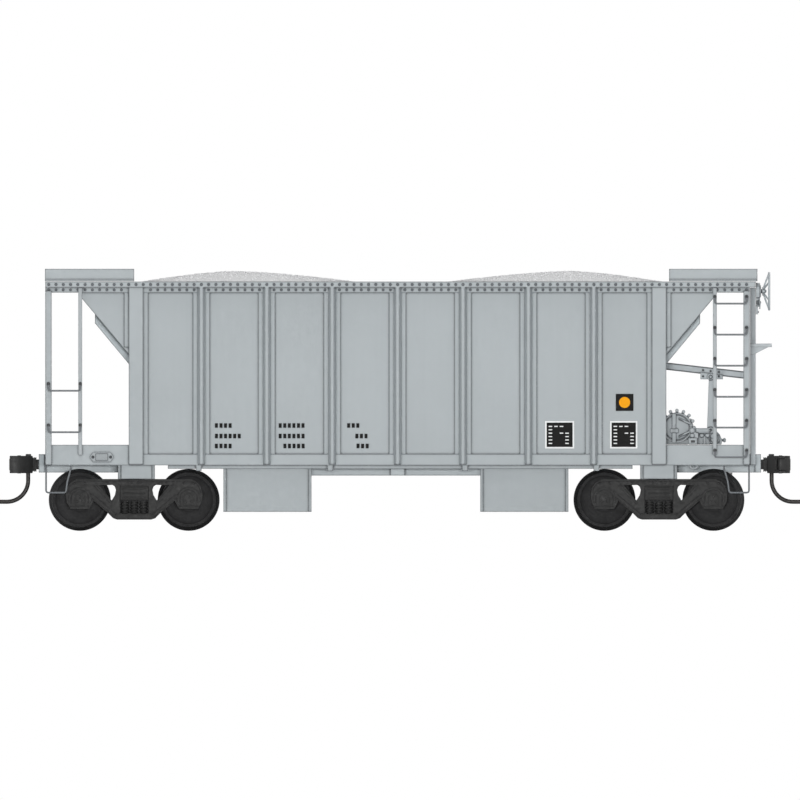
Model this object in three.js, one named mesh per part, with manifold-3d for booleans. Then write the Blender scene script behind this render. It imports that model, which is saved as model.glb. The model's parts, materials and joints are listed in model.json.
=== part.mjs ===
// Two-bay open-top ballast hopper car, an HO scale (1:87.1) model railway vehicle.
//
// Frame: millimetres, +Z up, +X towards the hand brake (B) end, +Y towards the far side.
// Origin: midway between the two couplers' pivots, on the plane that the wheel flanges stand on.
// The far side's ladders, steps and posts mirror the near side's.

import * as THREE from "three";
import { mergeVertices } from "three/addons/utils/BufferGeometryUtils.js";
import Module from "manifold-3d";

const wasm = await Module();
wasm.setup();

// ---- Driving dimensions, in millimetres from the middle of the hopper body ----

const BODY_SHIFT = -0.4; // puts the origin midway between the couplers
const BRAKE_END_EXTRA = 1.0; // the B end's brake mast and striker stand this much further out
const BODY_HALF = 60.2; // corner posts' outer faces
const END_FACE = BODY_HALF + BRAKE_END_EXTRA; // outer face of the B end
const EDGE = 0.05; // gap between pieces that touch on the model

const SHEET = 0.8; // moulded sheet thickness
const SIDE_Y = 16.6; // side sheets' outer faces
const SILL_Y = 16.95; // side sills' outer faces
const CORNER_Y = 17.4; // corner posts' outer faces
const POST_Y = 17.9; // crowns of the side posts, and the top rail's face
const POST_FLANGE = 0.22; // how far the posts' flanges stand off the side sheets
const INNER_Y = SIDE_Y - SHEET / 2; // half width of the sheets between the sides
const BEAM_Y = 16.2; // half width of the ends' cross members

const SILL_BOTTOM = 11.2;
const SILL_TOP = 13.1;
const LEDGE_X = [-39.25, 40.15]; // ledges inside the side sills
const DECK_UNDER = 14.2;
const DECK_TOP = 14.7;
const RAIL_BOTTOM = 40.7;
const RAIL_MIDDLE = 41.6;
const RAIL_TOP = 42.6;
const BOARD_TOP = 44.77;

const POST_PITCH = 11.175; // seven hat posts a side, between two wide end posts
const END_POST_X = 44.7;
const END_POST_HALF = 1.23;
const STILE = [53.9, 54.55]; // inner stile of the side ladders

const SLOPE_RISE = 1.192; // tangent of the slope sheets' 50 degrees
const SLOPE_TOP_X = 53.9; // a point on the slope sheet's outer face
const SLOPE_TOP_Z = 39.64;
const SLOPE_ACROSS = 1.044; // the sheet's thickness, measured level
const END_WALL_X = 54.5;
const RIDGE_HALF = 14.4; // foot of the ridge between the bays

const BAY_X = 21.95;
const CHUTE_OFFSET = -0.28; // both chutes stand a little towards the A end
const CHUTE_HALF = 7.53;
const CHUTE_BOTTOM = 3.25;

const CENTRE_SILL_Y = 3.4; // centre sill's half width
const CENTRE_SILL_LOW = 9.97; // its underside at the ends
const CENTRE_SILL_LOWEST = 9.45; // between the chutes
const CENTRE_SILL_NECK = 10.65; // and from the chutes to the neck
const NECK = [36, 38]; // where it steps up behind the side sills

const BOLSTER_X = 44.62;
const BOLSTER_HALF = 3.16; // body bolsters' half length along the car
const BOLSTER_FLOOR = 8.87; // their undersides, just over the sideframes

const TRUCK_A = 45.0; // kingpins' distances from the body's middle
const TRUCK_B = 44.67;
const AXLE_X = 9.3; // half the trucks' wheelbase
const AXLE_Z = 5.3;
const TREAD_R = 4.75;
const FLANGE_R = AXLE_Z; // the flanges stand on the rails' plane
const WHEEL_BACK = 7.2; // half the back-to-back distance
const WHEEL_FRONT = 9.9;
const FRAME_Y = [11.5, 13.4]; // sideframe thickness
const BOWL_TOP = 8.2; // top of the truck bolsters' centre bowls
const SCREW_HOLE = 0.95; // kingpin screw's hole radius in the body bolster

const PIVOT_A = 55.2; // coupler pivots' distances from the body's middle
const PIVOT_B = 56.0;
const STRIKER_REACH = 6.1; // from a pivot to its striker's face
const COUPLER_MIDDLE = 11.34;
const LID_HOLE = 0.65; // draft box lid screw's hole radius

const BRAKE_Y = -7; // hand brake, left of the middle seen from the B end
const BRAKE_Z = 40.95;

const ROUND = 16; // sides of a large turned piece
const SMALL = 8; // sides of a small one
const WIRE = 4; // sides of a wire
const WIRE_R = 0.17;

// ---- Materials ----

const finish = (color, roughness = 0.55, metalness = 0) =>
  new THREE.MeshStandardMaterial({ color, roughness, metalness });
const GREY = finish(0xb0b8ba);
const BLACK = finish(0x3c3c3c, 0.6);
const STONE = finish(0xc8c8ca, 0.95);
const STEEL = finish(0x9b9b9b, 0.35, 1);
const BLACKENED = finish(0x3b3b3b, 0.4, 0.8);
const BRONZE = finish(0xb08a4e, 0.35, 1);

// ---- Solids ----

// A closed three.js geometry as a manifold-3d solid.
function solid(geometry) {
  const bare = geometry.clone();
  bare.deleteAttribute("normal");
  bare.deleteAttribute("uv");
  const merged = mergeVertices(bare, 1e-4);
  const index = merged.index.array;
  const triVerts = [];
  for (let i = 0; i < index.length; i += 3) {
    const [a, b, c] = [index[i], index[i + 1], index[i + 2]];
    if (a !== b && b !== c && c !== a) triVerts.push(a, b, c);
  }
  return new wasm.Manifold(
    new wasm.Mesh({
      numProp: 3,
      vertProperties: merged.attributes.position.array,
      triVerts: new Uint32Array(triVerts),
    }),
  );
}

const join = (solids) => solids.reduce((whole, piece) => whole.add(piece));
const cut = (whole, solids) => whole.subtract(join(solids));
const otherSide = (piece) => piece.mirror([0, 1, 0]);
const otherEnd = (piece) => piece.mirror([1, 0, 0]);
const bothSides = (piece) => piece.add(otherSide(piece));
const bothEnds = (piece) => piece.add(otherEnd(piece));

const middle = ([low, high]) => (low + high) / 2;
const span = ([low, high]) => high - low;
const about = (centre, half) => [centre - half, centre + half];

function box(x, y, z) {
  const geometry = new THREE.BoxGeometry(span(x), span(y), span(z));
  return solid(geometry.translate(middle(x), middle(y), middle(z)));
}

function extrusion(outline, depth) {
  const shape = new THREE.Shape(outline.map(([a, b]) => new THREE.Vector2(a, b)));
  return new THREE.ExtrudeGeometry(shape, { depth, bevelEnabled: false });
}

// Outlines in the XZ, XY and YZ planes, carried through a range of the third axis.
const plateXZ = (outline, y) =>
  solid(extrusion(outline, span(y)).rotateX(Math.PI / 2).translate(0, y[1], 0));
const plateXY = (outline, z) => solid(extrusion(outline, span(z)).translate(0, 0, z[0]));
const plateYZ = (outline, x) =>
  solid(extrusion(outline, span(x)).rotateX(Math.PI / 2).rotateZ(Math.PI / 2).translate(x[0], 0, 0));

// Rods, or cones when two radii are given, with a flat facet turned downwards.
function rodX(radius, x, [y, z], sides = SMALL) {
  const [low, high] = Array.isArray(radius) ? radius : [radius, radius];
  const geometry = new THREE.CylinderGeometry(high, low, span(x), sides);
  return solid(geometry.rotateY(Math.PI / sides).rotateZ(-Math.PI / 2).translate(middle(x), y, z));
}

function rodY(radius, y, [x, z], sides = SMALL) {
  const [low, high] = Array.isArray(radius) ? radius : [radius, radius];
  const geometry = new THREE.CylinderGeometry(high, low, span(y), sides);
  return solid(geometry.rotateY(Math.PI / sides).translate(x, middle(y), z));
}

function rodZ(radius, z, [x, y], sides = SMALL) {
  const geometry = new THREE.CylinderGeometry(radius, radius, span(z), sides);
  return solid(geometry.rotateX(Math.PI / 2).translate(x, y, middle(z)));
}

// A closed profile of [radius, height] points turned about the Y axis, with a flat facet downwards.
function turnedY(profile, sides = ROUND) {
  const points = [...profile, profile[0]].map(([r, h]) => new THREE.Vector2(r, h));
  return solid(new THREE.LatheGeometry(points, sides, Math.PI / sides));
}

// A round wire bent along a smooth curve through the points given.
function bentWire(points, radius) {
  const circle = new THREE.Shape().absarc(0, 0, radius, 0, 2 * Math.PI);
  const path = new THREE.CatmullRomCurve3(points.map(([x, y, z]) => new THREE.Vector3(x, y, z)));
  const geometry = new THREE.ExtrudeGeometry(circle, {
    steps: 2 * points.length,
    curveSegments: SMALL / 2,
    extrudePath: path,
  });
  return solid(geometry);
}

// A solid as a named mesh in a group.
function part(group, name, piece, material) {
  const { vertProperties, triVerts } = piece.getMesh();
  const geometry = new THREE.BufferGeometry();
  geometry.setAttribute("position", new THREE.BufferAttribute(vertProperties, 3));
  geometry.setIndex(new THREE.BufferAttribute(triVerts, 1));
  geometry.computeVertexNormals();
  const mesh = new THREE.Mesh(geometry, material);
  mesh.name = name;
  group.add(mesh);
}

// ---- Hopper body: one moulding of sheets, posts, rails, sills and end decks ----

const slopeX = (z) => SLOPE_TOP_X - (SLOPE_TOP_Z - z) / SLOPE_RISE;
const slopeZ = (x) => SLOPE_TOP_Z + (x - SLOPE_TOP_X) * SLOPE_RISE;

function slopeSheet() {
  const inner = END_WALL_X - SHEET;
  return plateXZ(
    [
      [END_WALL_X, RAIL_TOP],
      [inner, RAIL_TOP],
      [inner, slopeZ(inner + SLOPE_ACROSS)],
      [slopeX(SILL_BOTTOM) - SLOPE_ACROSS, SILL_BOTTOM],
      [slopeX(SILL_BOTTOM), SILL_BOTTOM],
      [END_WALL_X, slopeZ(END_WALL_X)],
    ],
    about(0, INNER_Y),
  );
}

function ridge() {
  const foot = RIDGE_HALF - SLOPE_ACROSS;
  return plateXZ(
    [
      [RIDGE_HALF, SILL_BOTTOM],
      [0, SILL_BOTTOM + RIDGE_HALF * SLOPE_RISE],
      [-RIDGE_HALF, SILL_BOTTOM],
      [-foot, SILL_BOTTOM],
      [0, SILL_BOTTOM + foot * SLOPE_RISE],
      [foot, SILL_BOTTOM],
    ],
    about(0, INNER_Y),
  );
}

function sideSheet() {
  const edge = END_POST_X + END_POST_HALF;
  const half = [
    [edge, SILL_BOTTOM],
    [edge, slopeZ(edge)],
    [END_WALL_X, slopeZ(END_WALL_X)],
    [END_WALL_X, RAIL_TOP],
  ];
  const mirrored = half.map(([x, z]) => [-x, z]).reverse();
  return plateXZ([...half, ...mirrored], [SIDE_Y - SHEET, SIDE_Y]);
}

// Top-hat post: two flanges against the sheet, two leaning webs and a narrow crown.
function hatPost(x) {
  const flange = SIDE_Y + POST_FLANGE;
  const [foot, web, crown] = [1.45, 0.68, 0.3];
  const half = [
    [foot, SIDE_Y - 0.1],
    [foot, flange],
    [web, flange],
    [crown, POST_Y],
  ];
  const outline = [...half, ...half.map(([a, b]) => [-a, b]).reverse()];
  return plateXY(outline.map(([a, b]) => [x + a, b]), [SILL_BOTTOM + 0.15, RAIL_MIDDLE + 0.1]);
}

// The wide post at the end of the side, with a flange on each side of it.
function endPost() {
  const flange = [SIDE_Y - 0.1, SIDE_Y + POST_FLANGE];
  const outer = END_POST_X + END_POST_HALF + 0.8;
  const height = [SILL_BOTTOM + 0.15, RAIL_MIDDLE + 0.1];
  return join([
    box(about(END_POST_X, END_POST_HALF), [SIDE_Y - 0.2, POST_Y - 0.2], height),
    box([END_POST_X - 2.1, END_POST_X], flange, [SILL_TOP - 0.1, RAIL_MIDDLE]),
    box([END_POST_X, outer], flange, [slopeZ(outer) + 0.3, RAIL_MIDDLE]),
  ]);
}

// Angle-section corner post.
function cornerPost() {
  const height = [SILL_BOTTOM + 0.1, RAIL_BOTTOM + 0.3];
  const [sideLeg, endLeg] = [1.1, 2];
  return join([
    box([BODY_HALF - sideLeg, BODY_HALF], [CORNER_Y - 0.6, CORNER_Y], height),
    box([BODY_HALF - 0.4, BODY_HALF], [CORNER_Y - endLeg, CORNER_Y], height),
  ]);
}

// Lower strip of the top rail, and the sill with its inner ledge and square feet.
function sideRailAndSill() {
  const footHeight = [SILL_BOTTOM - 0.95, SILL_BOTTOM + 0.2];
  const feet = [1.03, 3.04].map((n) =>
    box(about(n * POST_PITCH, 0.48), [15.4, SILL_Y - 0.05], footHeight),
  );
  const halves = bothEnds(
    join([
      box([-1, BODY_HALF], [BEAM_Y, SIDE_Y + 0.3], [RAIL_BOTTOM, RAIL_MIDDLE + 0.1]),
      box([-1, END_POST_X], [BEAM_Y, SILL_Y], [SILL_BOTTOM, SILL_TOP]),
      box([END_POST_X - 1, BODY_HALF], [BEAM_Y, SILL_Y], [SILL_BOTTOM, DECK_TOP]),
      ...feet,
    ]),
  );
  return halves.add(box(LEDGE_X, [15.2, 16.4], [SILL_BOTTOM - 0.6, SILL_BOTTOM + 0.1]));
}

// End platform, end sill, top beam and two struts at the +X end.
function endFrame() {
  const strut = [BODY_HALF - 0.9, BODY_HALF - 0.1];
  const strutY = 4.8;
  const endSill = cut(box([BODY_HALF - 1, BODY_HALF], about(0, SILL_Y), [SILL_BOTTOM, DECK_TOP]), [
    box([BODY_HALF - 2, BODY_HALF + 1], about(0, CENTRE_SILL_Y + EDGE), [SILL_BOTTOM - 1, DECK_UNDER]),
  ]);
  return join([
    endSill,
    box([slopeX(DECK_UNDER), BODY_HALF - 0.5], about(0, 16.4), [DECK_UNDER, DECK_TOP]),
    box([BODY_HALF - 1, BODY_HALF], about(0, BEAM_Y), [RAIL_MIDDLE, RAIL_TOP]),
    box(strut, about(0, BEAM_Y), [RAIL_BOTTOM, RAIL_MIDDLE + 0.1]),
    box([END_WALL_X - 0.3, BODY_HALF], about(0, BEAM_Y), [RAIL_TOP - 0.4, RAIL_TOP]),
    bothSides(box(strut, about(strutY, 0.4), [DECK_TOP - 0.2, RAIL_BOTTOM + 0.2])),
  ]);
}

// Gusset under the slope sheet, from near its top down to the end deck.
function slopeGusset(y) {
  const top = 51.7;
  const depth = 1.55; // measured upright
  return plateXZ(
    [
      [top, slopeZ(top) - depth],
      [top, slopeZ(top) + 0.2],
      [slopeX(DECK_TOP) - 0.2, DECK_TOP - 0.2],
      [slopeX(DECK_TOP + depth), DECK_TOP - 0.2],
    ],
    about(y, 0.3),
  );
}

// Small half-round roping loop under the side sill.
function sillLoop(x) {
  const arc = (radius) =>
    Array.from({ length: 9 }, (_, i) => {
      const angle = Math.PI + (Math.PI * i) / 8;
      return [x + radius * Math.cos(angle), SILL_BOTTOM + 0.05 + radius * Math.sin(angle)];
    });
  const [outer, inner] = [0.85, 0.5];
  return plateXZ([...arc(outer), ...arc(inner).reverse()], [BEAM_Y + 0.15, SILL_Y - 0.15]);
}

function hopperBody() {
  const posts = [-3, -2, -1, 0, 1, 2, 3].map((n) => hatPost(n * POST_PITCH));
  const railHeight = [RAIL_MIDDLE, RAIL_TOP];
  const upperRail = box([-BODY_HALF, END_FACE], [BEAM_Y - 0.2, POST_Y], railHeight);
  const [loopX, gussetY] = [50.6, 9];
  const loadLedge = box([18, 22], [15, SIDE_Y - SHEET + 0.1], [39.5, 40.1]);
  const side = join([
    sideSheet(),
    ...posts,
    bothEnds(join([endPost(), cornerPost(), loadLedge])),
    upperRail,
    sideRailAndSill(),
    sillLoop(loopX),
  ]);
  const brakeBeam = box([BODY_HALF - 0.1, END_FACE], about(0, BEAM_Y), railHeight);
  return join([
    bothEnds(join([slopeSheet(), endFrame(), bothSides(slopeGusset(gussetY))])),
    ridge(),
    bothSides(side),
    brakeBeam,
  ]);
}

// Spill board round three sides of the car's top at the +X end, on a foot flange.
function spillBoard(outer, inner) {
  const thick = 0.5;
  const height = [RAIL_TOP + EDGE, BOARD_TOP];
  const face = POST_Y - 0.15;
  return join([
    bothSides(box([inner, outer], [face - thick, face], height)),
    bothSides(box([inner, outer], [POST_Y - 0.9, POST_Y], [RAIL_TOP + EDGE, RAIL_TOP + 0.4])),
    box([outer - thick, outer], about(0, face - 0.05), height),
  ]);
}

// ---- Underframe: centre sill, bolsters, cross tie, strikers and draft pockets ----

// Pocket for the coupler's shank, open below, with a narrower mouth and the lid screw's hole.
function draftPocket(pivot) {
  const mouth = pivot + STRIKER_REACH;
  const roof = 12.4;
  return join([
    box([pivot - 2.8, mouth - 1.9], about(0, 2.7), [CENTRE_SILL_LOW - 0.1, roof]),
    box([mouth - 2, mouth + 0.1], about(0, 2.4), [10.4, roof]),
    rodZ(LID_HOLE, [roof - 0.4, roof + 1.2], [pivot, 0]),
  ]);
}

function bodyBolster(x, kingpin) {
  return join([
    box(about(x, BOLSTER_HALF), about(0, 14.4), [BOLSTER_FLOOR, DECK_UNDER - 0.1]),
    box(about(x, BOLSTER_HALF - 0.54), about(0, 15.6), [BOLSTER_FLOOR, DECK_UNDER - 0.1]),
    rodZ(2, [BOWL_TOP + EDGE, 9], [kingpin, 0], ROUND),
  ]);
}

function underframe() {
  const endHeight = [CENTRE_SILL_LOW, DECK_UNDER - 0.1];
  const neckHeight = [SILL_BOTTOM + 0.05, DECK_UNDER - 0.1];
  const draftHeight = [CENTRE_SILL_LOW, SILL_TOP];
  const strikerA = -(PIVOT_A + STRIKER_REACH);
  const strikerB = PIVOT_B + STRIKER_REACH;
  const strikerHalf = 4;
  const frame = join([
    box(about(0, BAY_X), about(0, CENTRE_SILL_Y), [CENTRE_SILL_LOWEST, SILL_BOTTOM - 0.1]),
    box(about(0, NECK[1]), about(0, CENTRE_SILL_Y), [CENTRE_SILL_NECK, SILL_BOTTOM - 0.1]),
    bothEnds(box(NECK, about(0, CENTRE_SILL_Y), [CENTRE_SILL_NECK, SILL_BOTTOM + 0.5])),
    bothEnds(box([NECK[0], BOLSTER_X], about(0, CENTRE_SILL_Y), neckHeight)),
    bothEnds(box([BOLSTER_X, BODY_HALF], about(0, CENTRE_SILL_Y), endHeight)),
    box([BODY_HALF - 1, strikerB - 0.5], about(0, CENTRE_SILL_Y), draftHeight),
    box([strikerA + 0.5, 1 - BODY_HALF], about(0, CENTRE_SILL_Y), draftHeight),
    box([strikerA, strikerA + 1], about(0, strikerHalf), draftHeight),
    box([strikerB - 1, strikerB], about(0, strikerHalf), draftHeight),
    box(about(0, 1.22), about(0, 9), [CENTRE_SILL_LOWEST, SILL_BOTTOM - 0.1]),
    bodyBolster(-BOLSTER_X, -TRUCK_A),
    bodyBolster(BOLSTER_X, TRUCK_B),
  ]);
  return cut(frame, [
    otherEnd(draftPocket(PIVOT_A)),
    draftPocket(PIVOT_B),
    rodZ(SCREW_HOLE, [8, 12.5], [-TRUCK_A, 0]),
    rodZ(SCREW_HOLE, [8, 12.5], [TRUCK_B, 0]),
  ]);
}

// Steel weight in the hollow under the ridge.
function ballastWeight() {
  const outline = [
    [12.6, SILL_BOTTOM],
    [3.3, 22.2],
    [-3.3, 22.2],
    [-12.6, SILL_BOTTOM],
  ];
  return plateXZ(outline, about(0, 14));
}

// ---- Discharge chute: a funnel under a bay between two side plates, closed by a sliding gate ----

function chute(x) {
  const lip = 0.48; // width of the side plates' edge flanges
  const plateHeight = [CHUTE_BOTTOM, SILL_BOTTOM - 0.1];
  const funnel = (top, bottom, low, y) => {
    const half = [
      [bottom, low],
      [top, 10.6],
      [top, 11.1],
    ];
    const mirrored = half.map(([a, b]) => [-a, b]).reverse();
    return plateXZ([...half, ...mirrored].map(([a, b]) => [x + a, b]), about(0, y));
  };
  const plate = join([
    box(about(x, CHUTE_HALF), [13.3, 13.9], plateHeight),
    box([x - CHUTE_HALF, x - CHUTE_HALF + lip], [13.4, 14.25], plateHeight),
    box([x + CHUTE_HALF - lip, x + CHUTE_HALF], [13.4, 14.25], plateHeight),
  ]);
  const shell = cut(funnel(7, 3.4, CHUTE_BOTTOM, 13.4), [
    funnel(6.5, 2.9, CHUTE_BOTTOM + 0.5, 13.35),
    box(about(x, 6.5), about(0, 13.35), [11, 11.3]),
  ]);
  return cut(join([shell, bothSides(plate)]), [
    box(about(x, 8), about(0, CENTRE_SILL_Y + EDGE), [CENTRE_SILL_LOWEST - EDGE, 11.3]),
  ]);
}

// ---- Stone load: a lift-out insert, heaped over each bay ----

const LOAD_HALF = 53.2;
const LOAD_Y = 15.4;
const LOAD_BOTTOM = 40.15;
const LOAD_EDGE = 41.9;
const HEAP_TOP = 44.4;
const HEAP_A = 28; // the two heaps' distances from the body's middle
const HEAP_B = 29.4;

// A heap falls steeply towards its end of the car and gently towards the middle.
function heapHeight(x) {
  const away = Math.abs(x) - (x > 0 ? HEAP_B : HEAP_A);
  const reach = away > 0 ? 15.6 : 20.6;
  const fall = (HEAP_TOP - RAIL_TOP) * (Math.abs(away) / reach) ** 1.5;
  return Math.max(LOAD_EDGE, HEAP_TOP - fall);
}

function stoneLoad() {
  const steps = 32;
  const crest = Array.from({ length: steps + 1 }, (_, i) => {
    const x = LOAD_HALF - (2 * LOAD_HALF * i) / steps;
    return [x, heapHeight(x)];
  });
  const crown = Array.from({ length: 9 }, (_, i) => {
    const angle = (Math.PI * i) / 8;
    return [LOAD_Y * Math.cos(angle), LOAD_EDGE + 1.15 * (HEAP_TOP - LOAD_EDGE) * Math.sin(angle)];
  });
  const along = [[-LOAD_HALF, LOAD_BOTTOM], [LOAD_HALF, LOAD_BOTTOM], ...crest];
  const across = [[-LOAD_Y, LOAD_BOTTOM], [LOAD_Y, LOAD_BOTTOM], ...crown];
  return plateXZ(along, about(0, LOAD_Y)).intersect(plateYZ(across, about(0, LOAD_HALF)));
}

// ---- Ladders and steps ----

const RUNG_DROP = 1.2; // a rung hangs this far below its bolts
const FULL_LADDER = [12.57, 17.65, 22.91, 28.22, 33.53, 38.83];
const TWO_GRABS = [16.86, 23.94];

// Drop grab iron between the stile and the corner post.
function dropGrab(z) {
  const [inner, outer] = [middle(STILE), BODY_HALF - 0.55];
  const stand = CORNER_Y + 0.35;
  const upright = [z, z + RUNG_DROP];
  return join([
    rodX(WIRE_R, [inner - 0.1, outer + 0.1], [stand, z], WIRE),
    box(about(inner, 0.12), about(stand, 0.12), upright),
    box(about(outer, 0.12), about(stand, 0.12), upright),
    box(about(inner, 0.28), [CORNER_Y - 0.1, stand + 0.2], about(z + RUNG_DROP, 0.28)),
    box(about(outer, 0.28), [CORNER_Y + EDGE, stand + 0.2], about(z + RUNG_DROP, 0.28)),
  ]);
}

function sideLadder(heights) {
  const stile = box(STILE, [SILL_Y + EDGE, CORNER_Y], [12.96, RAIL_MIDDLE - EDGE]);
  return join([stile, ...heights.map(dropGrab)]);
}

// Ladder on the end of the car, just inside the corner post.
function endLadder() {
  const [inner, outer] = [11, 15.2];
  const x = BODY_HALF - 0.35;
  const rungs = [19.5, 24.5, 29.5, 34.5, 38.5].map((z) => rodY(WIRE_R, [inner, outer], [x, z], WIRE));
  const stiles = [inner, outer].map((y) =>
    box([x - 0.35, x + 0.2], about(y, 0.15), [DECK_TOP + EDGE, RAIL_BOTTOM - EDGE]),
  );
  return join([...rungs, ...stiles]);
}

// Bent-strap stirrup step under a corner.
function stirrupStep() {
  const top = SILL_BOTTOM - EDGE;
  const outline = [
    [60.2, top],
    [59.9, top],
    [59.9, 6.7],
    [56.85, 6.7],
    [56.6, 8.4],
    [55.85, top],
    [55.55, top],
    [56.3, 8.3],
    [56.6, 6.4],
    [60.2, 6.4],
  ];
  return plateXZ(outline, [16.4, 16.9]);
}

// Small pointed card holder on the side sill.
function cardHolder() {
  const [x, z] = [-50.55, 12.6];
  const outline = [
    [x - 2.05, z],
    [x - 1.45, z - 0.7],
    [x + 1.45, z - 0.7],
    [x + 2.05, z],
    [x + 1.45, z + 0.7],
    [x - 1.45, z + 0.7],
  ];
  const plate = plateXZ(outline, [SILL_Y + EDGE, SILL_Y + 0.35]);
  const bolts = [x - 1.35, x + 1.35].map((boltX) =>
    box(about(boltX, 0.28), [SILL_Y + 0.2, SILL_Y + 0.6], about(z, 0.28)),
  );
  return join([plate, ...bolts]);
}

// ---- Hand brake and air brake gear at the B end ----

const MAST_HALF = 0.6;

function brakeMast() {
  return box([BODY_HALF + EDGE, END_FACE], about(BRAKE_Y, MAST_HALF), [11.3, RAIL_MIDDLE - EDGE]);
}

function brakeHousing() {
  const front = [END_FACE + EDGE, END_FACE + 0.9];
  const whole = join([
    box(front, about(BRAKE_Y, 1.2), [40, 42.3]),
    rodX(1.5, front, [BRAKE_Y, BRAKE_Z], ROUND),
    box([front[0], front[1] - 0.1], about(BRAKE_Y, 0.55), [36.85, 40.1]),
  ]);
  return cut(whole, [rodX(0.45, [END_FACE + 0.4, END_FACE + 2], [BRAKE_Y, BRAKE_Z])]);
}

// Dished hand wheel; its stub turns in the housing.
function brakeWheel() {
  const spokeCount = 6;
  const [rimOuter, rimInner] = [3.3, 2.85];
  const hub = END_FACE + 1;
  const rimX = [END_FACE + 2.1, END_FACE + 2.5];
  const rim = cut(rodX(rimOuter, rimX, [0, 0], ROUND), [
    rodX(rimInner, [rimX[0] - 1, rimX[1] + 1], [0, 0], ROUND),
  ]);
  const spoke = plateXZ(
    [
      [hub, 0],
      [hub + 0.5, 0],
      [rimX[1], rimInner + 0.2],
      [rimX[0], rimInner + 0.2],
    ],
    about(0, 0.22),
  );
  const spokes = Array.from({ length: spokeCount }, (_, i) =>
    spoke.rotate([(360 / spokeCount) * i, 0, 0]),
  );
  const stub = rodX(0.38, [END_FACE + 0.5, hub + 0.1], [0, 0]);
  const boss = rodX(0.75, [hub - EDGE, hub + 0.6], [0, 0]);
  return join([rim, stub, boss, ...spokes]).translate([0, BRAKE_Y, BRAKE_Z]);
}

// Brakeman's step: a notched platform on two triangular brackets.
function brakeStep() {
  const y = about(BRAKE_Y, 3.2);
  const bracket = [
    [BODY_HALF + EDGE, 30.06],
    [BODY_HALF + 0.5, 30.06],
    [BODY_HALF + 2.6, 31.5],
    [BODY_HALF + EDGE, 31.5],
  ];
  const whole = join([
    box([BODY_HALF + EDGE, BODY_HALF + 3.75], y, [31.4, 32]),
    plateXZ(bracket, about(BRAKE_Y - 1.2, 0.2)),
    plateXZ(bracket, about(BRAKE_Y + 1.2, 0.2)),
  ]);
  return cut(whole, [
    box([BODY_HALF - 1, END_FACE + EDGE], about(BRAKE_Y, MAST_HALF + EDGE), [29, 33]),
  ]);
}

// Reservoir lying across the car, with a bolted head towards the near side.
function airReservoir() {
  const [flange, boltCircle, bolt, boltCount] = [2.74, 2.93, 0.3, 16];
  const floor = DECK_TOP + EDGE;
  const centre = [47.75, floor + flange];
  const bolts = Array.from({ length: boltCount }, (_, i) => {
    const angle = (2 * Math.PI * i) / boltCount;
    return [centre[0] + boltCircle * Math.cos(angle), centre[1] + boltCircle * Math.sin(angle)];
  })
    .filter(([, z]) => z > floor + bolt)
    .map((at) => rodY(bolt, [-14.6, -13.9], at));
  return join([
    rodY(flange, [-14.5, -14], centre, ROUND),
    rodY(2.5, [-14.1, -5.6], centre, ROUND),
    rodY([1.4, 2.2], [-14.9, -14.4], centre, ROUND),
    ...bolts,
  ]);
}

// Valve body beside the reservoir, with a pipe bracket that stands in front of its head.
function controlValve() {
  const floor = DECK_TOP + EDGE;
  const outline = [
    [51.1, floor],
    [55.4, floor],
    [55.6, 15.5],
    [55.1, 16.6],
    [54.4, 17.3],
    [53.7, 17.6],
    [51.6, 17.6],
    [51.1, 17.1],
  ];
  return join([
    plateXZ(outline, [-15.3, -11.8]),
    box([49.75, 51.3], [-15.9, -14.95], [floor, 15.9]),
    box([49.95, 50.75], [-15.8, -14.98], [15.8, 17.6]),
    rodX(0.75, [55.3, 56.2], [-13.6, 15.55]),
    rodY(0.9, [-15.8, -15.2], [53.4, 16.1]),
  ]);
}

const LEVER_X = 53.5;

// Brake cylinder behind the reservoir; its rod reaches the foot of the lever.
function brakeCylinder() {
  const axis = [-2.6, 17];
  return join([
    rodX(2.2, [43.6, 50.6], axis, ROUND),
    rodX(0.4, [50.5, LEVER_X + 0.1], axis),
    box([LEVER_X - 0.4, LEVER_X + 0.5], [-5.1, -2.2], about(axis[1], 0.35)),
    box([44.6, 49.6], about(axis[0], 1.2), [DECK_TOP + EDGE, 16]),
  ]);
}

// Sloped beam from the slope sheet to the end strut, with the lever's bracket plate.
function leverBeam() {
  const topZ = (x) => 28.78 - ((x - 45.93) * 1.51) / 13.2;
  const [inner, outer] = [slopeX(28.5) + 0.6, BODY_HALF - 0.95];
  const beam = plateXZ(
    [
      [inner, topZ(inner) - 1.2],
      [outer, topZ(outer) - 1.2],
      [outer, topZ(outer)],
      [inner, topZ(inner)],
    ],
    [-5.2, -4.4],
  );
  return join([beam, box([51.8, 55.6], [-5.4, -5.1], [25.9, 27.3])]);
}

// Upright tapered brake lever.
function brakeLever() {
  const [foot, head, boss] = [0.55, 0.38, 0.7];
  const outline = [
    [LEVER_X - foot, 16.5],
    [LEVER_X + foot, 16.5],
    [LEVER_X + head, 26.7],
    [LEVER_X - head, 26.7],
  ];
  return join([
    plateXZ(outline, [-5.9, -5.45]),
    rodY(boss, [-6, -5.45], [LEVER_X, 17.1]),
    rodY(boss, [-6, -5.45], [LEVER_X, 26.4]),
  ]);
}

// ---- Trucks ----

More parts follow.
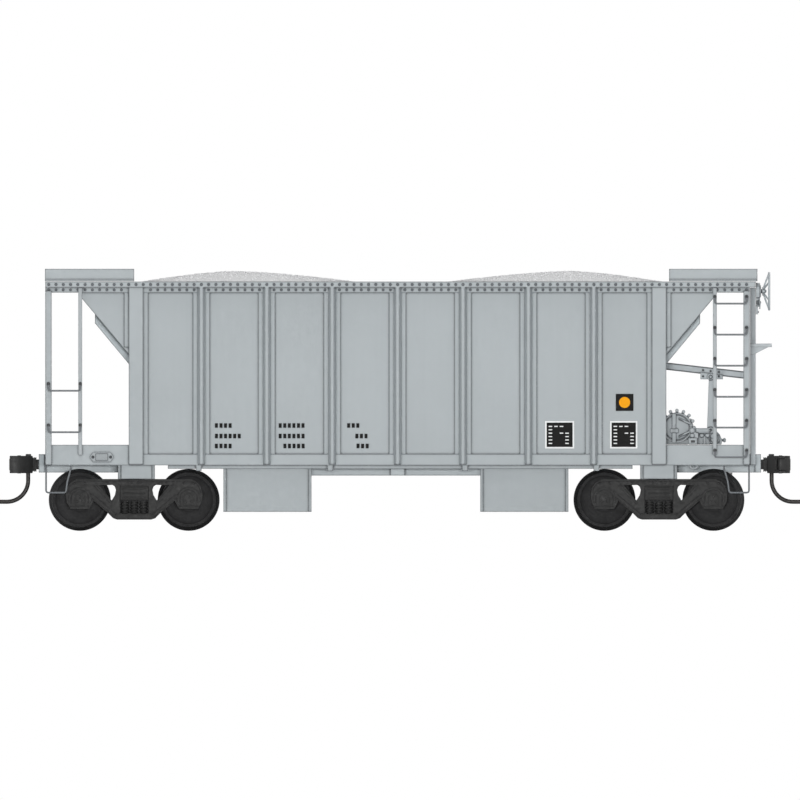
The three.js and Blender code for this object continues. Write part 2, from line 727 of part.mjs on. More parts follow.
// Cast sideframe with two windows, a bolster opening and bearing recesses.
function sideframe() {
  const half = [
    [2.9, 1.92],
    [3.6, 2.15],
    [4.4, 2.95],
    [6.9, 5.1],
    [7.5, 3.9],
    [11, 3.9],
    [11.55, 4.9],
    [11.7, 6.4],
    [11.4, 7.6],
    [10.8, 8.4],
    [9.9, 8.82],
  ];
  const window = [
    [3.85, 5.25],
    [5.9, 7.75],
    [3.7, 7.85],
    [3.3, 7.55],
    [3.12, 7],
    [3.3, 6.1],
  ];
  const mirrored = (points) => points.map(([x, z]) => [-x, z]).reverse();
  const plate = plateXZ([...half, ...mirrored(half)], [FRAME_Y[0] + 0.3, FRAME_Y[1] - 0.5]);
  const caps = [-AXLE_X, AXLE_X].flatMap((x) => [
    box(about(x, 1.6), [FRAME_Y[0], FRAME_Y[1] - 0.2], [3.7, 7.1]),
    rodY(1.25, [FRAME_Y[1] - 0.6, FRAME_Y[1]], [x, AXLE_Z]),
  ]);
  const springPitch = 1.6;
  const springs = [-springPitch, 0, springPitch].map((x) =>
    box(about(x, 0.7), about(FRAME_Y[1] - 0.8, 0.65), [2.6, 5.1]),
  );
  const floor = box(about(0, 2.9), [FRAME_Y[0] + 0.3, FRAME_Y[1] - 0.1], [1.92, 2.9]);
  const recesses = [-AXLE_X, AXLE_X].map((x) => rodY([1, 0.2], [FRAME_Y[0] - 0.1, 12.75], [x, AXLE_Z]));
  return cut(join([plate, ...caps, floor, ...springs]), [
    plateXZ(window, [FRAME_Y[0] - 1, FRAME_Y[1] + 1]),
    plateXZ(mirrored(window), [FRAME_Y[0] - 1, FRAME_Y[1] + 1]),
    box(about(0, 2.45), [FRAME_Y[0] - 1, FRAME_Y[1] + 1], [5.1, 7.8]),
    ...recesses,
  ]);
}

function truckBolster() {
  return cut(
    join([
      box(about(0, 2.4), about(0, FRAME_Y[1] - 0.3), [5.15, 7.75]),
      rodZ(2.1, [7.6, BOWL_TOP], [0, 0], ROUND),
    ]),
    [rodZ(1.15, [5, 9], [0, 0])],
  );
}

// Needle-point axle along Y.
function axle() {
  return join([
    rodY(1, about(0, 11.2), [0, 0]),
    rodY([1, 0.12], [11.1, 12.6], [0, 0]),
    rodY([0.12, 1], [-12.6, -11.1], [0, 0]),
  ]);
}

// Wheel with its flange towards the middle of the car.
function wheel() {
  const flat = 1 / Math.cos(Math.PI / ROUND); // radii are kept to the flats
  const profile = [
    [1.06, WHEEL_BACK],
    [5, WHEEL_BACK],
    [FLANGE_R, 7.45],
    [FLANGE_R - 0.1, 7.75],
    [TREAD_R, 8],
    [TREAD_R, WHEEL_FRONT],
    [3.9, WHEEL_FRONT],
    [3.7, 9.1],
    [1.06, 9.1],
  ];
  return turnedY(profile.map(([r, h]) => [r * flat, h]));
}

function truckScrew() {
  return join([rodZ(0.85, [5, 12.3], [0, 0]), rodZ(1.7, [4.4, 5.05], [0, 0])]);
}

// ---- Couplers, drawn from the pivot outwards along +X ----

const HEAD_Z = about(COUPLER_MIDDLE, 1.49);
const KNUCKLE_PIN = [9.45, -1.55];

function couplerBody() {
  const head = [
    [7.15, -1.3],
    [8.72, -2],
    [8.72, 0.35],
    [9.3, 1.1],
    [10.8, 2],
    [11.1, 2.5],
    [10.6, 3],
    [9.2, 2.7],
    [7.15, 1.3],
  ];
  const lug = [
    [8.6, -2.2],
    [9.6, -2.35],
    [10.2, -1.8],
    [10, -0.9],
    [8.6, -0.6],
  ];
  const lugs = [
    [HEAD_Z[0], HEAD_Z[0] + 0.45],
    [HEAD_Z[1] - 0.45, HEAD_Z[1]],
  ].map((z) => plateXY(lug, z));
  const whole = join([
    rodZ(1.75, [10.45, 12.25], [0, 0]),
    box([0, 7.4], about(0, 0.75), [10.45, 12.25]),
    box([6.5, 7.3], about(0, 1), [10.1, 12.6]),
    plateXY(head, HEAD_Z),
    box([7.5, 8.3], about(0, 0.8), [HEAD_Z[1] - 0.1, HEAD_Z[1] + 0.3]),
    ...lugs,
    rodZ(0.3, [HEAD_Z[0] + 0.2, HEAD_Z[1] - 0.2], KNUCKLE_PIN),
  ]);
  return cut(whole, [
    rodZ(0.9, [10, 13], [0, 0]),
    rodZ(0.42, [HEAD_Z[0] - 0.1, HEAD_Z[0] + 1], [7.92, 0]),
  ]);
}

function knuckle() {
  const outline = [
    [8.88, -1.86],
    [9.45, -2.17],
    [10.5, -2],
    [11.15, -1.3],
    [11.15, 0.25],
    [10.85, 0.45],
    [10.3, 0.3],
    [10.15, -0.6],
    [9.6, -0.95],
    [9, -1.1],
  ];
  return cut(plateXY(outline, [HEAD_Z[0] + 0.5, HEAD_Z[1] - 0.5]), [rodZ(0.38, [9, 14], KNUCKLE_PIN)]);
}

// Bent uncoupling pin that hangs from the head and looks like an air hose.
function tripPin() {
  const [x, radius, low] = [7.92, 3.63, 4.97];
  const arc = [0, 0.25, 0.5, 0.75].map((t) => {
    const angle = (Math.PI / 2) * t;
    return [x + radius * (1 - Math.cos(angle)), 0, low + radius * (1 - Math.sin(angle))];
  });
  const points = [[x, 0, HEAD_Z[0] + 0.9], [x, 0, 9.6], ...arc, [x + radius, 0, low], [x + 5.5, 0, low]];
  return bentWire(points, 0.36);
}

function boxLid() {
  const lid = box([-2.7, 4.15], about(0, 2.6), [CENTRE_SILL_LOW, 10.35]);
  return cut(lid, [rodZ(LID_HOLE, [9, 11], [0, 0])]);
}

function lidScrew() {
  return join([rodZ(0.6, [9.9, 13.4], [0, 0]), rodZ(1.2, [9.45, CENTRE_SILL_LOW - 0.03], [0, 0])]);
}

// ---- The car ----

const car = new THREE.Group();
car.position.x = BODY_SHIFT;

part(car, "hopper_body", hopperBody(), GREY);
part(car, "spill_board_a", otherEnd(spillBoard(BODY_HALF + 0.05, 45)), GREY);
part(car, "spill_board_b", spillBoard(BODY_HALF + BRAKE_END_EXTRA + 0.3, 46.4), GREY);
part(car, "underframe", underframe(), GREY);
part(car, "ballast_weight", ballastWeight(), STEEL);
part(car, "chute_a", chute(CHUTE_OFFSET - BAY_X), GREY);
part(car, "chute_b", chute(CHUTE_OFFSET + BAY_X), GREY);
part(car, "load_insert", stoneLoad(), STONE);

part(car, "side_ladder_b_far", sideLadder(FULL_LADDER), GREY);
part(car, "side_ladder_b_near", otherSide(sideLadder(FULL_LADDER)), GREY);
part(car, "side_grabs_a_far", otherEnd(sideLadder(TWO_GRABS)), GREY);
part(car, "side_grabs_a_near", otherEnd(otherSide(sideLadder(TWO_GRABS))), GREY);
part(car, "end_ladder_a", otherEnd(endLadder()), GREY);
part(car, "end_ladder_b", otherSide(endLadder()), GREY);
part(car, "stirrup_step_b_far", stirrupStep(), GREY);
part(car, "stirrup_step_b_near", otherSide(stirrupStep()), GREY);
part(car, "stirrup_step_a_far", otherEnd(stirrupStep()), GREY);
part(car, "stirrup_step_a_near", otherEnd(otherSide(stirrupStep())), GREY);
part(car, "card_holder_far", cardHolder(), GREY);
part(car, "card_holder_near", otherSide(cardHolder()), GREY);

part(car, "brake_mast", brakeMast(), GREY);
part(car, "brake_housing", brakeHousing(), GREY);
part(car, "brake_wheel", brakeWheel(), GREY);
part(car, "brake_step", brakeStep(), GREY);
part(car, "air_reservoir", airReservoir(), GREY);
part(car, "control_valve", controlValve(), GREY);
part(car, "brake_cylinder", brakeCylinder(), GREY);
part(car, "lever_beam", leverBeam(), GREY);
part(car, "brake_lever", brakeLever(), GREY);

for (const [end, side] of [
  ["a", -1],
  ["b", 1],
]) {
  const truck = new THREE.Group();
  truck.position.x = side > 0 ? TRUCK_B : -TRUCK_A;
  part(truck, `truck_bolster_${end}`, truckBolster(), BLACK);
  part(truck, `sideframe_${end}_far`, sideframe(), BLACK);
  part(truck, `sideframe_${end}_near`, otherSide(sideframe()), BLACK);
  part(truck, `truck_screw_${end}`, truckScrew(), STEEL);
  for (const [place, offset] of [
    ["outer", side * AXLE_X],
    ["inner", -side * AXLE_X],
  ]) {
    const wheelset = new THREE.Group();
    wheelset.position.set(offset, 0, AXLE_Z);
    part(wheelset, `axle_${end}_${place}`, axle(), STEEL);
    part(wheelset, `wheel_${end}_${place}_far`, wheel(), BLACKENED);
    part(wheelset, `wheel_${end}_${place}_near`, otherSide(wheel()), BLACKENED);
    truck.add(wheelset);
  }
  car.add(truck);

  const draftGear = new THREE.Group();
  draftGear.position.x = side > 0 ? PIVOT_B : -PIVOT_A;
  draftGear.rotation.z = side > 0 ? 0 : Math.PI;
  part(draftGear, `coupler_${end}`, couplerBody(), BLACK);
  part(draftGear, `knuckle_${end}`, knuckle(), BLACK);
  part(draftGear, `trip_pin_${end}`, tripPin(), BRONZE);
  part(draftGear, `coupler_lid_${end}`, boxLid(), BLACK);
  part(draftGear, `lid_screw_${end}`, lidScrew(), STEEL);
  car.add(draftGear);
}

export default new THREE.Group().add(car);
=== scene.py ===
"""Looks of an HO scale two-bay ballast hopper car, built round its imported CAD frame.

Shapes are made in millimetres in the car's own coordinates: x from the middle of the body towards the
hand brake (B) end, y towards the far side, z up from the plane that the wheel flanges stand on.
"""

import json
import math
import random

import bmesh
import bpy
from mathutils import Matrix, Vector, noise


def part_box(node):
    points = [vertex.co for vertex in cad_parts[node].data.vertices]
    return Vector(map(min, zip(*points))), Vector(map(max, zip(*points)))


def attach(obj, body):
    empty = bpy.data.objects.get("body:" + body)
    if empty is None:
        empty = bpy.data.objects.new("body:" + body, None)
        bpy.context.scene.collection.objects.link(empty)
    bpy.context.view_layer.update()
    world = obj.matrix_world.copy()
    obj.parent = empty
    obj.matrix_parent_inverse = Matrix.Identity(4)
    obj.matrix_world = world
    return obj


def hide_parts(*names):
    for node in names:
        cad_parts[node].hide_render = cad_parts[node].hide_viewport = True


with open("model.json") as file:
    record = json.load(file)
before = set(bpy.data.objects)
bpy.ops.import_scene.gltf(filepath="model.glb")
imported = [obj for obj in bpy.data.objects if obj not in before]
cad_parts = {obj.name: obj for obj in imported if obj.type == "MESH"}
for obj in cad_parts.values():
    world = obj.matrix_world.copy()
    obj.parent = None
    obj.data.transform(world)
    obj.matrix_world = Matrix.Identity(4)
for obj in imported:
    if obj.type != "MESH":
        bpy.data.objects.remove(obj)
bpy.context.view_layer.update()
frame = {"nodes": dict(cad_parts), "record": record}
rng = random.Random(7)

MM = 0.001
NEAR, FAR = -1, 1  # sides of the car
TURN = 2 * math.pi

# The frame's origin is midway between the couplers; the body's middle stands a little to the A side.
_body_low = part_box("stirrup_step_a_near")[0].x
_body_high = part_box("stirrup_step_b_near")[1].x
BODY_MIDDLE = (_body_low + _body_high) / 2 / MM


class Box:
    """A CAD node's box at rest, in millimetres in the car's own coordinates."""

    def __init__(self, node):
        low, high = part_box(node)
        self.x = (low.x / MM - BODY_MIDDLE, high.x / MM - BODY_MIDDLE)
        self.y = (low.y / MM, high.y / MM)
        self.z = (low.z / MM, high.z / MM)
        self.centre = [sum(pair) / 2 for pair in (self.x, self.y, self.z)]


# ---- shapes


class Shape:
    """Closed forms gathered in one bmesh, in millimetres."""

    def __init__(self):
        self.bm = bmesh.new()

    def faces(self, points, faces):
        verts = [self.bm.verts.new(p) for p in points]
        for face in faces:
            self.bm.faces.new([verts[i] for i in face])

    def box(self, x, y, z):
        (x0, x1), (y0, y1), (z0, z1) = x, y, z
        points = [(a, b, c) for c in (z0, z1) for a, b in ((x0, y0), (x1, y0), (x1, y1), (x0, y1))]
        faces = [(3, 2, 1, 0), (4, 5, 6, 7), (0, 1, 5, 4), (1, 2, 6, 5), (2, 3, 7, 6), (3, 0, 4, 7)]
        self.faces(points, faces)

    def prism(self, outline, span, axis="y"):
        """An outline carried along an axis. Outlines are (x, z) for y, (y, z) for x, (x, y) for z."""
        place = {
            "x": lambda a, b, c: (c, a, b),
            "y": lambda a, b, c: (a, c, b),
            "z": lambda a, b, c: (a, b, c),
        }[axis]
        area = sum(a[0] * b[1] - b[0] * a[1] for a, b in zip(outline, outline[1:] + outline[:1]))
        ring = outline if (area > 0) == (axis != "y") else outline[::-1]
        n = len(ring)
        points = [place(a, b, c) for c in span for a, b in ring]
        faces = [tuple(range(n))[::-1], tuple(range(n, 2 * n))]
        faces += [(i, (i + 1) % n, (i + 1) % n + n, i + n) for i in range(n)]
        self.faces(points, faces)

    def plate(self, outline, holes, span):
        """A flat plate with holes in the (x, z) plane, carried along y."""
        edges = []
        for ring in (outline, *holes):
            verts = [self.bm.verts.new((x, span[0], z)) for x, z in ring]
            edges += [self.bm.edges.new((a, b)) for a, b in zip(verts, verts[1:] + verts[:1])]
        filled = bmesh.ops.triangle_fill(self.bm, use_beauty=True, use_dissolve=False, edges=edges)
        faces = [item for item in filled["geom"] if isinstance(item, bmesh.types.BMFace)]
        grown = bmesh.ops.extrude_face_region(self.bm, geom=faces, use_keep_orig=True)
        raised = [item for item in grown["geom"] if isinstance(item, bmesh.types.BMVert)]
        bmesh.ops.translate(self.bm, verts=raised, vec=(0, span[1] - span[0], 0))
        bmesh.ops.recalc_face_normals(self.bm, faces=self.bm.faces)

    def turned(self, profile, centre, axis="y", sides=48, sign=1):
        """(radius, height) points turned about an axis; the sign says which way the heights run."""
        cx, cy, cz = centre

        def place(radius, height, angle):
            a, b = radius * math.cos(angle), radius * math.sin(angle)
            if axis == "x":
                return (cx + height, cy + a, cz + b)
            if axis == "y":
                return (cx + b, cy + height, cz + a)
            return (cx + a, cy + b, cz + height)

        rings = []
        for radius, height in profile:
            # A point on the axis has radius 0 and gives a single vertex.
            angles = [TURN * i / sides for i in range(sides)] if radius > 1e-6 else [0]
            rings.append([self.bm.verts.new(place(radius, sign * height, angle)) for angle in angles])
        closed = len(rings[0]) > 1 and len(rings[-1]) > 1
        pairs = list(zip(rings, rings[1:]))
        if closed:
            pairs.append((rings[-1], rings[0]))
        for low, high in pairs:
            for i in range(sides):
                j = (i + 1) % sides
                face = [low[i % len(low)], low[j % len(low)], high[j % len(high)], high[i % len(high)]]
                unique = list(dict.fromkeys(face))
                if len(unique) > 2:
                    self.bm.faces.new(unique)

    def wire(self, points, radius, sides=10, closed=False):
        """A round wire through the points; ends are capped."""
        points = [Vector(p) for p in points]
        n = len(points)
        rings = []
        up = None
        for i, point in enumerate(points):
            before = points[(i - 1) % n] if closed or i else point
            after = points[(i + 1) % n] if closed or i < n - 1 else point
            along = (after - before).normalized()
            if up is None:
                up = along.orthogonal().normalized()
            up = (up - along * up.dot(along)).normalized()
            side = along.cross(up)
            stretch = 1.0  # keeps the wire's thickness in a bend
            if (closed or 0 < i < n - 1) and (point - before).length > 0:
                half_turn = (point - before).angle(after - point) / 2
                stretch = 1 / max(0.5, math.cos(half_turn))
            ring = []
            for k in range(sides):
                angle = TURN * k / sides
                offset = up * math.cos(angle) + side * math.sin(angle)
                ring.append(self.bm.verts.new(point + offset * radius * min(stretch, 1.3)))
            rings.append(ring)
        pairs = list(zip(rings, rings[1:]))
        if closed:
            pairs.append((rings[-1], rings[0]))
        for low, high in pairs:
            for k in range(sides):
                j = (k + 1) % sides
                self.bm.faces.new((low[k], low[j], high[j], high[k]))
        if not closed:
            self.bm.faces.new(rings[0][::-1])
            self.bm.faces.new(rings[-1])

    def rivet(self, point, axis, sign, radius=0.2, height=0.13, sides=8):
        """A low domed rivet head that stands on a face."""
        profile = [(0, -0.05), (radius, -0.05), (radius * 0.95, height * 0.4)]
        profile += [(radius * 0.6, height), (0, height)]
        self.turned(profile, point, axis, sides, sign)

    def bolt(self, point, axis, sign, radius=0.26, height=0.25):
        """A hexagon bolt head on a round washer."""
        washer = [(0, -0.05), (radius * 1.3, -0.05), (radius * 1.3, 0.07), (0, 0.07)]
        self.turned(washer, point, axis, 16, sign)
        head = [(0, 0), (radius, 0), (radius, height * 0.85), (radius * 0.8, height), (0, height)]
        self.turned(head, point, axis, 6, sign)

    def bevelled(self, width=0.07, segments=2, sharpest=35):
        """Rounds every edge that turns by more than the angle given."""
        self.bm.normal_update()
        limit = math.radians(sharpest)
        edges = [e for e in self.bm.edges if len(e.link_faces) == 2 and e.calc_face_angle(0) > limit]
        options = {"segments": segments, "profile": 0.6, "affect": "EDGES", "clamp_overlap": True}
        bmesh.ops.bevel(self.bm, geom=edges, offset=width, **options)

    def add(self, other):
        """Takes in another shape's forms."""
        mesh = bpy.data.meshes.new("joined")
        other.bm.to_mesh(mesh)
        self.bm.from_mesh(mesh)
        bpy.data.meshes.remove(mesh)
        other.bm.free()

    def piece(self, name, body, material, stands_for=(), slot="grey_plastic", smooth_angle=30):
        """The finished Blender object, riding on a CAD body."""
        bmesh.ops.recalc_face_normals(self.bm, faces=self.bm.faces)
        self.bm.transform(Matrix.Scale(MM, 4) @ Matrix.Translation((BODY_MIDDLE, 0, 0)))
        mesh = bpy.data.meshes.new(name)
        self.bm.to_mesh(mesh)
        self.bm.free()
        materials = material if isinstance(material, (list, tuple)) else [material]
        for entry in materials:
            mesh.materials.append(entry)
        obj = bpy.data.objects.new(name, mesh)
        bpy.context.scene.collection.objects.link(obj)
        for polygon in mesh.polygons:
            polygon.use_smooth = True
        mesh.set_sharp_from_angle(angle=math.radians(smooth_angle))
        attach(obj, body)
        if stands_for:
            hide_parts(*stands_for)
        return obj


def about(centre, half):
    """A span of the half width given on both sides of a centre."""
    return (centre - half, centre + half)


def outwards(side, inner, outer):
    """The y span between two distances from the car's middle plane, on the side given."""
    return sorted((side * inner, side * outer))


def arc(centre, radius, start, end, steps):
    """Points on an arc, in degrees anticlockwise."""
    cx, cy = centre
    angles = [math.radians(start + (end - start) * i / steps) for i in range(steps + 1)]
    return [(cx + radius * math.cos(a), cy + radius * math.sin(a)) for a in angles]


# ---- materials


class Nodes:
    """A material's node tree with short ways to add and join nodes."""

    def __init__(self, name):
        self.material = bpy.data.materials.new(name)
        self.material.use_nodes = True
        self.tree = self.material.node_tree
        self.shader = self.tree.nodes["Principled BSDF"]
        self.place = self.new("TexCoord").outputs["Object"]

    def new(self, kind, **values):
        """A node of the kind given, with its number inputs set."""
        node = self.tree.nodes.new("ShaderNode" + kind)
        for name, value in values.items():
            node.inputs[name.replace("_", " ")].default_value = value
        return node

    def link(self, output, target):
        self.tree.links.new(output, target)

    def noise(self, grains_per_mm, detail=3.0, stretch=(1, 1, 1)):
        mapping = self.new("Mapping", Scale=stretch)
        texture = self.new("TexNoise", Scale=grains_per_mm / MM, Detail=detail)
        self.link(self.place, mapping.inputs["Vector"])
        self.link(mapping.outputs["Vector"], texture.inputs["Vector"])
        return texture.outputs["Fac"]

    def spread(self, value, low, high, out_low=0.0, out_high=1.0):
        node = self.new("MapRange", From_Min=low, From_Max=high, To_Min=out_low, To_Max=out_high)
        self.link(value, node.inputs["Value"])
        return node.outputs["Result"]

    def mix(self, factor, first, second):
        """Mixes two colours; each may be a tuple or an output, and the factor a number or an output."""
        node = self.new("Mix")
        node.data_type = "RGBA"
        for value, socket in ((factor, node.inputs[0]), (first, node.inputs[6]), (second, node.inputs[7])):
            if isinstance(value, bpy.types.NodeSocket):
                self.link(value, socket)
            elif isinstance(value, tuple):
                socket.default_value = (*value, 1)
            else:
                socket.default_value = value
        return node.outputs[2]

    def crevices(self, reach_mm, samples=6, open_at=0.88, closed_at=0.42, inside=False):
        """1 in corners and 0 on open faces."""
        node = self.new("AmbientOcclusion", Distance=reach_mm * MM)
        node.samples = samples
        node.inside = inside
        return self.spread(node.outputs["AO"], open_at, closed_at)

    def edges(self, reach_mm):
        """1 on sharp outer edges and 0 on open faces: crevices seen from inside the piece."""
        return self.crevices(reach_mm, 6, 0.92, 0.5, inside=True)

    def inner_light_mask(self):
        """Mask of painted light: 1 near the car's middle plane, on the inner parts that the lamps leave in
        shade, and 0 at its sides.
        """
        geometry = self.new("NewGeometry")
        parts = self.new("SeparateXYZ")
        size = self.new("Math")
        size.operation = "ABSOLUTE"
        self.link(geometry.outputs["Position"], parts.inputs["Vector"])
        self.link(parts.outputs["Y"], size.inputs[0])
        return self.spread(size.outputs["Value"], 13.5 * MM, 9.5 * MM)

    def bump(self, height, strength, depth_mm):
        node = self.new("Bump", Strength=strength, Distance=depth_mm * MM)
        self.link(height, node.inputs["Height"])
        self.link(node.outputs["Normal"], self.shader.inputs["Normal"])

    def island_random(self):
        return self.new("NewGeometry").outputs["Random Per Island"]

    def finish(self, base, rough, specular):
        """The material with its colour, its roughness (a number or an output) and its gloss."""
        inputs = self.shader.inputs
        self.link(base, inputs["Base Color"])
        if isinstance(rough, float):
            inputs["Roughness"].default_value = rough
        else:
            self.link(rough, inputs["Roughness"])
        inputs["Specular IOR Level"].default_value = specular
        return self.material


def srgb(red, green, blue):
    """A linear colour from screen values of 0 to 255."""
    scaled = (value / 255 for value in (red, green, blue))
    return tuple(v / 12.92 if v <= 0.04045 else ((v + 0.055) / 1.055) ** 2.4 for v in scaled)


def shade(colour, factor):
    """A colour made darker or lighter."""
    return tuple(min(1, value * factor) for value in colour)


def painted(name, colour, line, rough=0.5, line_reach=0.45, edge_reach=0.24):
    """Painted moulding: mottling, streaks, painted light on the inner parts, painted shade in corners and
    dark outlines on edges.
    """
    n = Nodes(name)
    cloud = n.spread(n.noise(0.05), 0.35, 0.7)
    streak = n.spread(n.noise(0.9, 4, (1, 1, 0.05)), 0.45, 0.75)
    base = n.mix(cloud, colour, shade(colour, 0.94))
    # Painted light: the colour is made lighter near the middle plane, where the inner parts lie in the lamps'
    # shade.
    base = n.mix(n.inner_light_mask(), base, shade(colour, 1.25))
    base = n.mix(n.spread(streak, 0, 1, 0, 0.10), base, shade(colour, 0.82))
    # Painted shade: the colour runs towards the line colour in corners and crevices, found by ambient
    # occlusion.
    base = n.mix(n.crevices(line_reach), base, line)
    base = n.mix(n.spread(n.edges(edge_reach), 0, 1, 0, 0.9), base, line)
    n.bump(n.noise(14, 2), 0.25, 0.012)
    return n.finish(base, n.spread(n.noise(1.5), 0.3, 0.7, rough - 0.07, rough + 0.08), 0.3)


def moulded_black(name, level, rough=0.55):
    """Slippery black plastic with a fine moulded grain, painted shade in its corners and grey edges that are
    painted highlights as well as rubbed wear.
    """
    n = Nodes(name)
    colour = (level, level, level * 0.99)
    base = n.mix(n.spread(n.noise(0.4), 0.35, 0.7), colour, shade(colour, 0.75))
    # Painted shade: near-black in corners and crevices.
    base = n.mix(n.crevices(0.5, 8, 0.96, 0.62), base, (0.006, 0.006, 0.007))
    # Painted highlight on sharp edges, partly also rubbed wear.
    base = n.mix(n.spread(n.edges(0.12), 0, 1, 0, 0.35), base, shade(colour, 1.6))
    n.bump(n.noise(18, 2), 0.3, 0.01)
    return n.finish(base, n.spread(n.noise(2), 0.3, 0.7, rough - 0.08, rough + 0.1), 0.25)


def turned_metal(name, colour, rough, metallic=1.0, stretch=(1, 0.1, 1)):
    """Machined metal with fine turning marks and a little staining."""
    n = Nodes(name)
    stain = n.spread(n.noise(0.5, 4), 0.4, 0.75)
    base = n.mix(stain, colour, shade(colour, 0.6))
    # Painted shade: darker in corners and crevices.
    base = n.mix(n.crevices(0.4), base, shade(colour, 0.5))
    n.shader.inputs["Metallic"].default_value = metallic
    n.bump(n.noise(10, 2, stretch), 0.2, 0.01)
    return n.finish(base, n.spread(n.noise(3, 3), 0.3, 0.7, rough - 0.08, rough + 0.12), 0.2)


def crushed_stone(name, colour):
    """Pale crushed stone; every stone has its own tone."""
    n = Nodes(name)
    tone = n.spread(n.island_random(), 0, 1)
    base = n.mix(tone, shade(colour, 0.82), shade(colour, 1.12))
    base = n.mix(n.spread(n.noise(3, 5), 0.45, 0.8, 0, 0.4), base, shade(colour, 0.7))
    # Painted shade: darker in the gaps between the stones.
    base = n.mix(n.spread(n.crevices(0.5), 0, 1, 0, 0.55), base, shade(colour, 0.45))
    n.bump(n.noise(8, 5), 0.6, 0.05)
    return n.finish(base, 0.95, 0.15)


def ink(name, colour):
    """Printed stencil paint, slightly worn."""
    n = Nodes(name)
    worn = n.spread(n.noise(4, 4), 0.58, 0.75, 0, 0.35)
    base = n.mix(worn, colour, tuple(v * 0.75 + 0.008 for v in colour))
    n.bump(n.noise(20), 0.2, 0.005)
    return n.finish(base, n.spread(n.noise(6), 0.3, 0.7, 0.45, 0.65), 0.12)


# Colour of the painted shade in corners and of the dark outlines on edges.
SHADE_AND_OUTLINE = srgb(72, 76, 80)
GREY = painted("grey_body_paint", srgb(174, 181, 184), SHADE_AND_OUTLINE)
POST_GREY = painted("grey_fitting_paint", srgb(174, 180, 183), srgb(66, 70, 74), 0.5, 0.3, 0.13)
RIVET_GREY = painted("grey_rivet_paint", srgb(104, 109, 113), srgb(60, 63, 66), 0.5, 0.25, 0.08)
WIRE_GREY = painted("dark_wire_paint", srgb(118, 122, 126), srgb(50, 52, 54), 0.45, 0.15, 0.08)
BOLT_GREY = painted("dark_bolt_paint", srgb(62, 65, 68), srgb(40, 42, 44), 0.45, 0.15, 0.08)
BLACK = moulded_black("black_truck_plastic", 0.030)
COUPLER_BLACK = moulded_black("black_coupler_plastic", 0.036, 0.5)
BLACKENED = turned_metal("blackened_wheel_metal", (0.029, 0.029, 0.030), 0.62, 0.1)
STEEL = turned_metal("bright_turned_steel", (0.62, 0.61, 0.60), 0.3)
TREAD_STEEL = turned_metal("polished_tread_steel", (0.2, 0.2, 0.2), 0.4, 0.8)
BRONZE = turned_metal("blackened_bronze_wire", (0.055, 0.052, 0.05), 0.45, 0.5)
STONE = crushed_stone("pale_crushed_stone", srgb(248, 249, 251))
INK_BLACK = ink("black_stencil_ink", srgb(16, 16, 15))
INK_WHITE = ink("white_stencil_ink", srgb(238, 240, 240))
INK_YELLOW = ink("yellow_stencil_ink", srgb(250, 168, 4))

BY_SLOT = {
    "grey_plastic": GREY,
    "black_plastic": BLACK,
    "ballast_stone": STONE,
    "bright_steel": STEEL,
    "blackened_metal": BLACKENED,
    "bronze": BRONZE,
}
for row in frame["record"]["subparts"]:
    cad_mesh = frame["nodes"][row["node"]].data
    cad_mesh.materials.clear()
    cad_mesh.materials.append(BY_SLOT[row["material_slot"]])

# ---- the hopper's rivets and seams

hopper = Box("hopper_body")
RAIL_TOP = hopper.z[1]
RAIL_FACE = hopper.y[1]  # top rail and post crowns
SIDE_FACE = 16.6
POST_PITCH = 11.175
RIVET_PITCH = 1.242


def top_rail_rivets():
    """A row on the rail's face, and one below it that leaves out the posts."""
    shape = Shape()
    first, count = -59.6, 97
    post_area, end_post = 36, 44.7
    for i in range(count):
        x = first + RIVET_PITCH * i
        to_post = abs(x / POST_PITCH - round(x / POST_PITCH)) * POST_PITCH
        under_post = to_post < 0.8 and abs(x) < post_area
        under_end_post = abs(abs(x) - end_post) < 1.5
        for side in (NEAR, FAR):
            shape.rivet((x, side * RAIL_FACE, RAIL_TOP - 0.5), "y", side, 0.25, 0.12)
            if not under_post and not under_end_post:
                shape.rivet((x, side * (SIDE_FACE + 0.3), RAIL_TOP - 1.42), "y", side, 0.23, 0.12)
    shape.piece("top_rail_rivets", "car", RIVET_GREY)


def spill_board_rivets(end, node):
    board = Box(node)
    shape = Shape()
    inner, outer = sorted(board.x, key=abs)
    count = 9
    for i in range(count):
        x = inner + end * 0.9 + (outer - inner - end * 1.8) * i / (count - 1)
        for side in (NEAR, FAR):
            shape.rivet((x, side * (board.y[1] - 0.45), board.z[0] + 0.36), "z", 1, 0.12, 0.08, 6)
    shape.piece(f"{node}_rivets", "car", RIVET_GREY)


top_rail_rivets()
spill_board_rivets(-1, "spill_board_a")
spill_board_rivets(1, "spill_board_b")

# ---- stone load

load = Box("load_insert")


def load_height(x, y):
    """Height of the two heaps, which fall steeply to the ends, gently to the middle and at the sides."""
    crest = 29.4 if x > 0 else 28.0
    away = abs(x) - crest
    reach = 15.6 if away > 0 else 20.6
    top, edge = 44.28, 41.8
    ridge = top - 1.8 * (abs(away) / reach) ** 1.5
    across = max(0.0, 1 - (y / (load.y[1] + 0.1)) ** 2) ** 0.45
    return edge + max(0.05, ridge - edge) * across


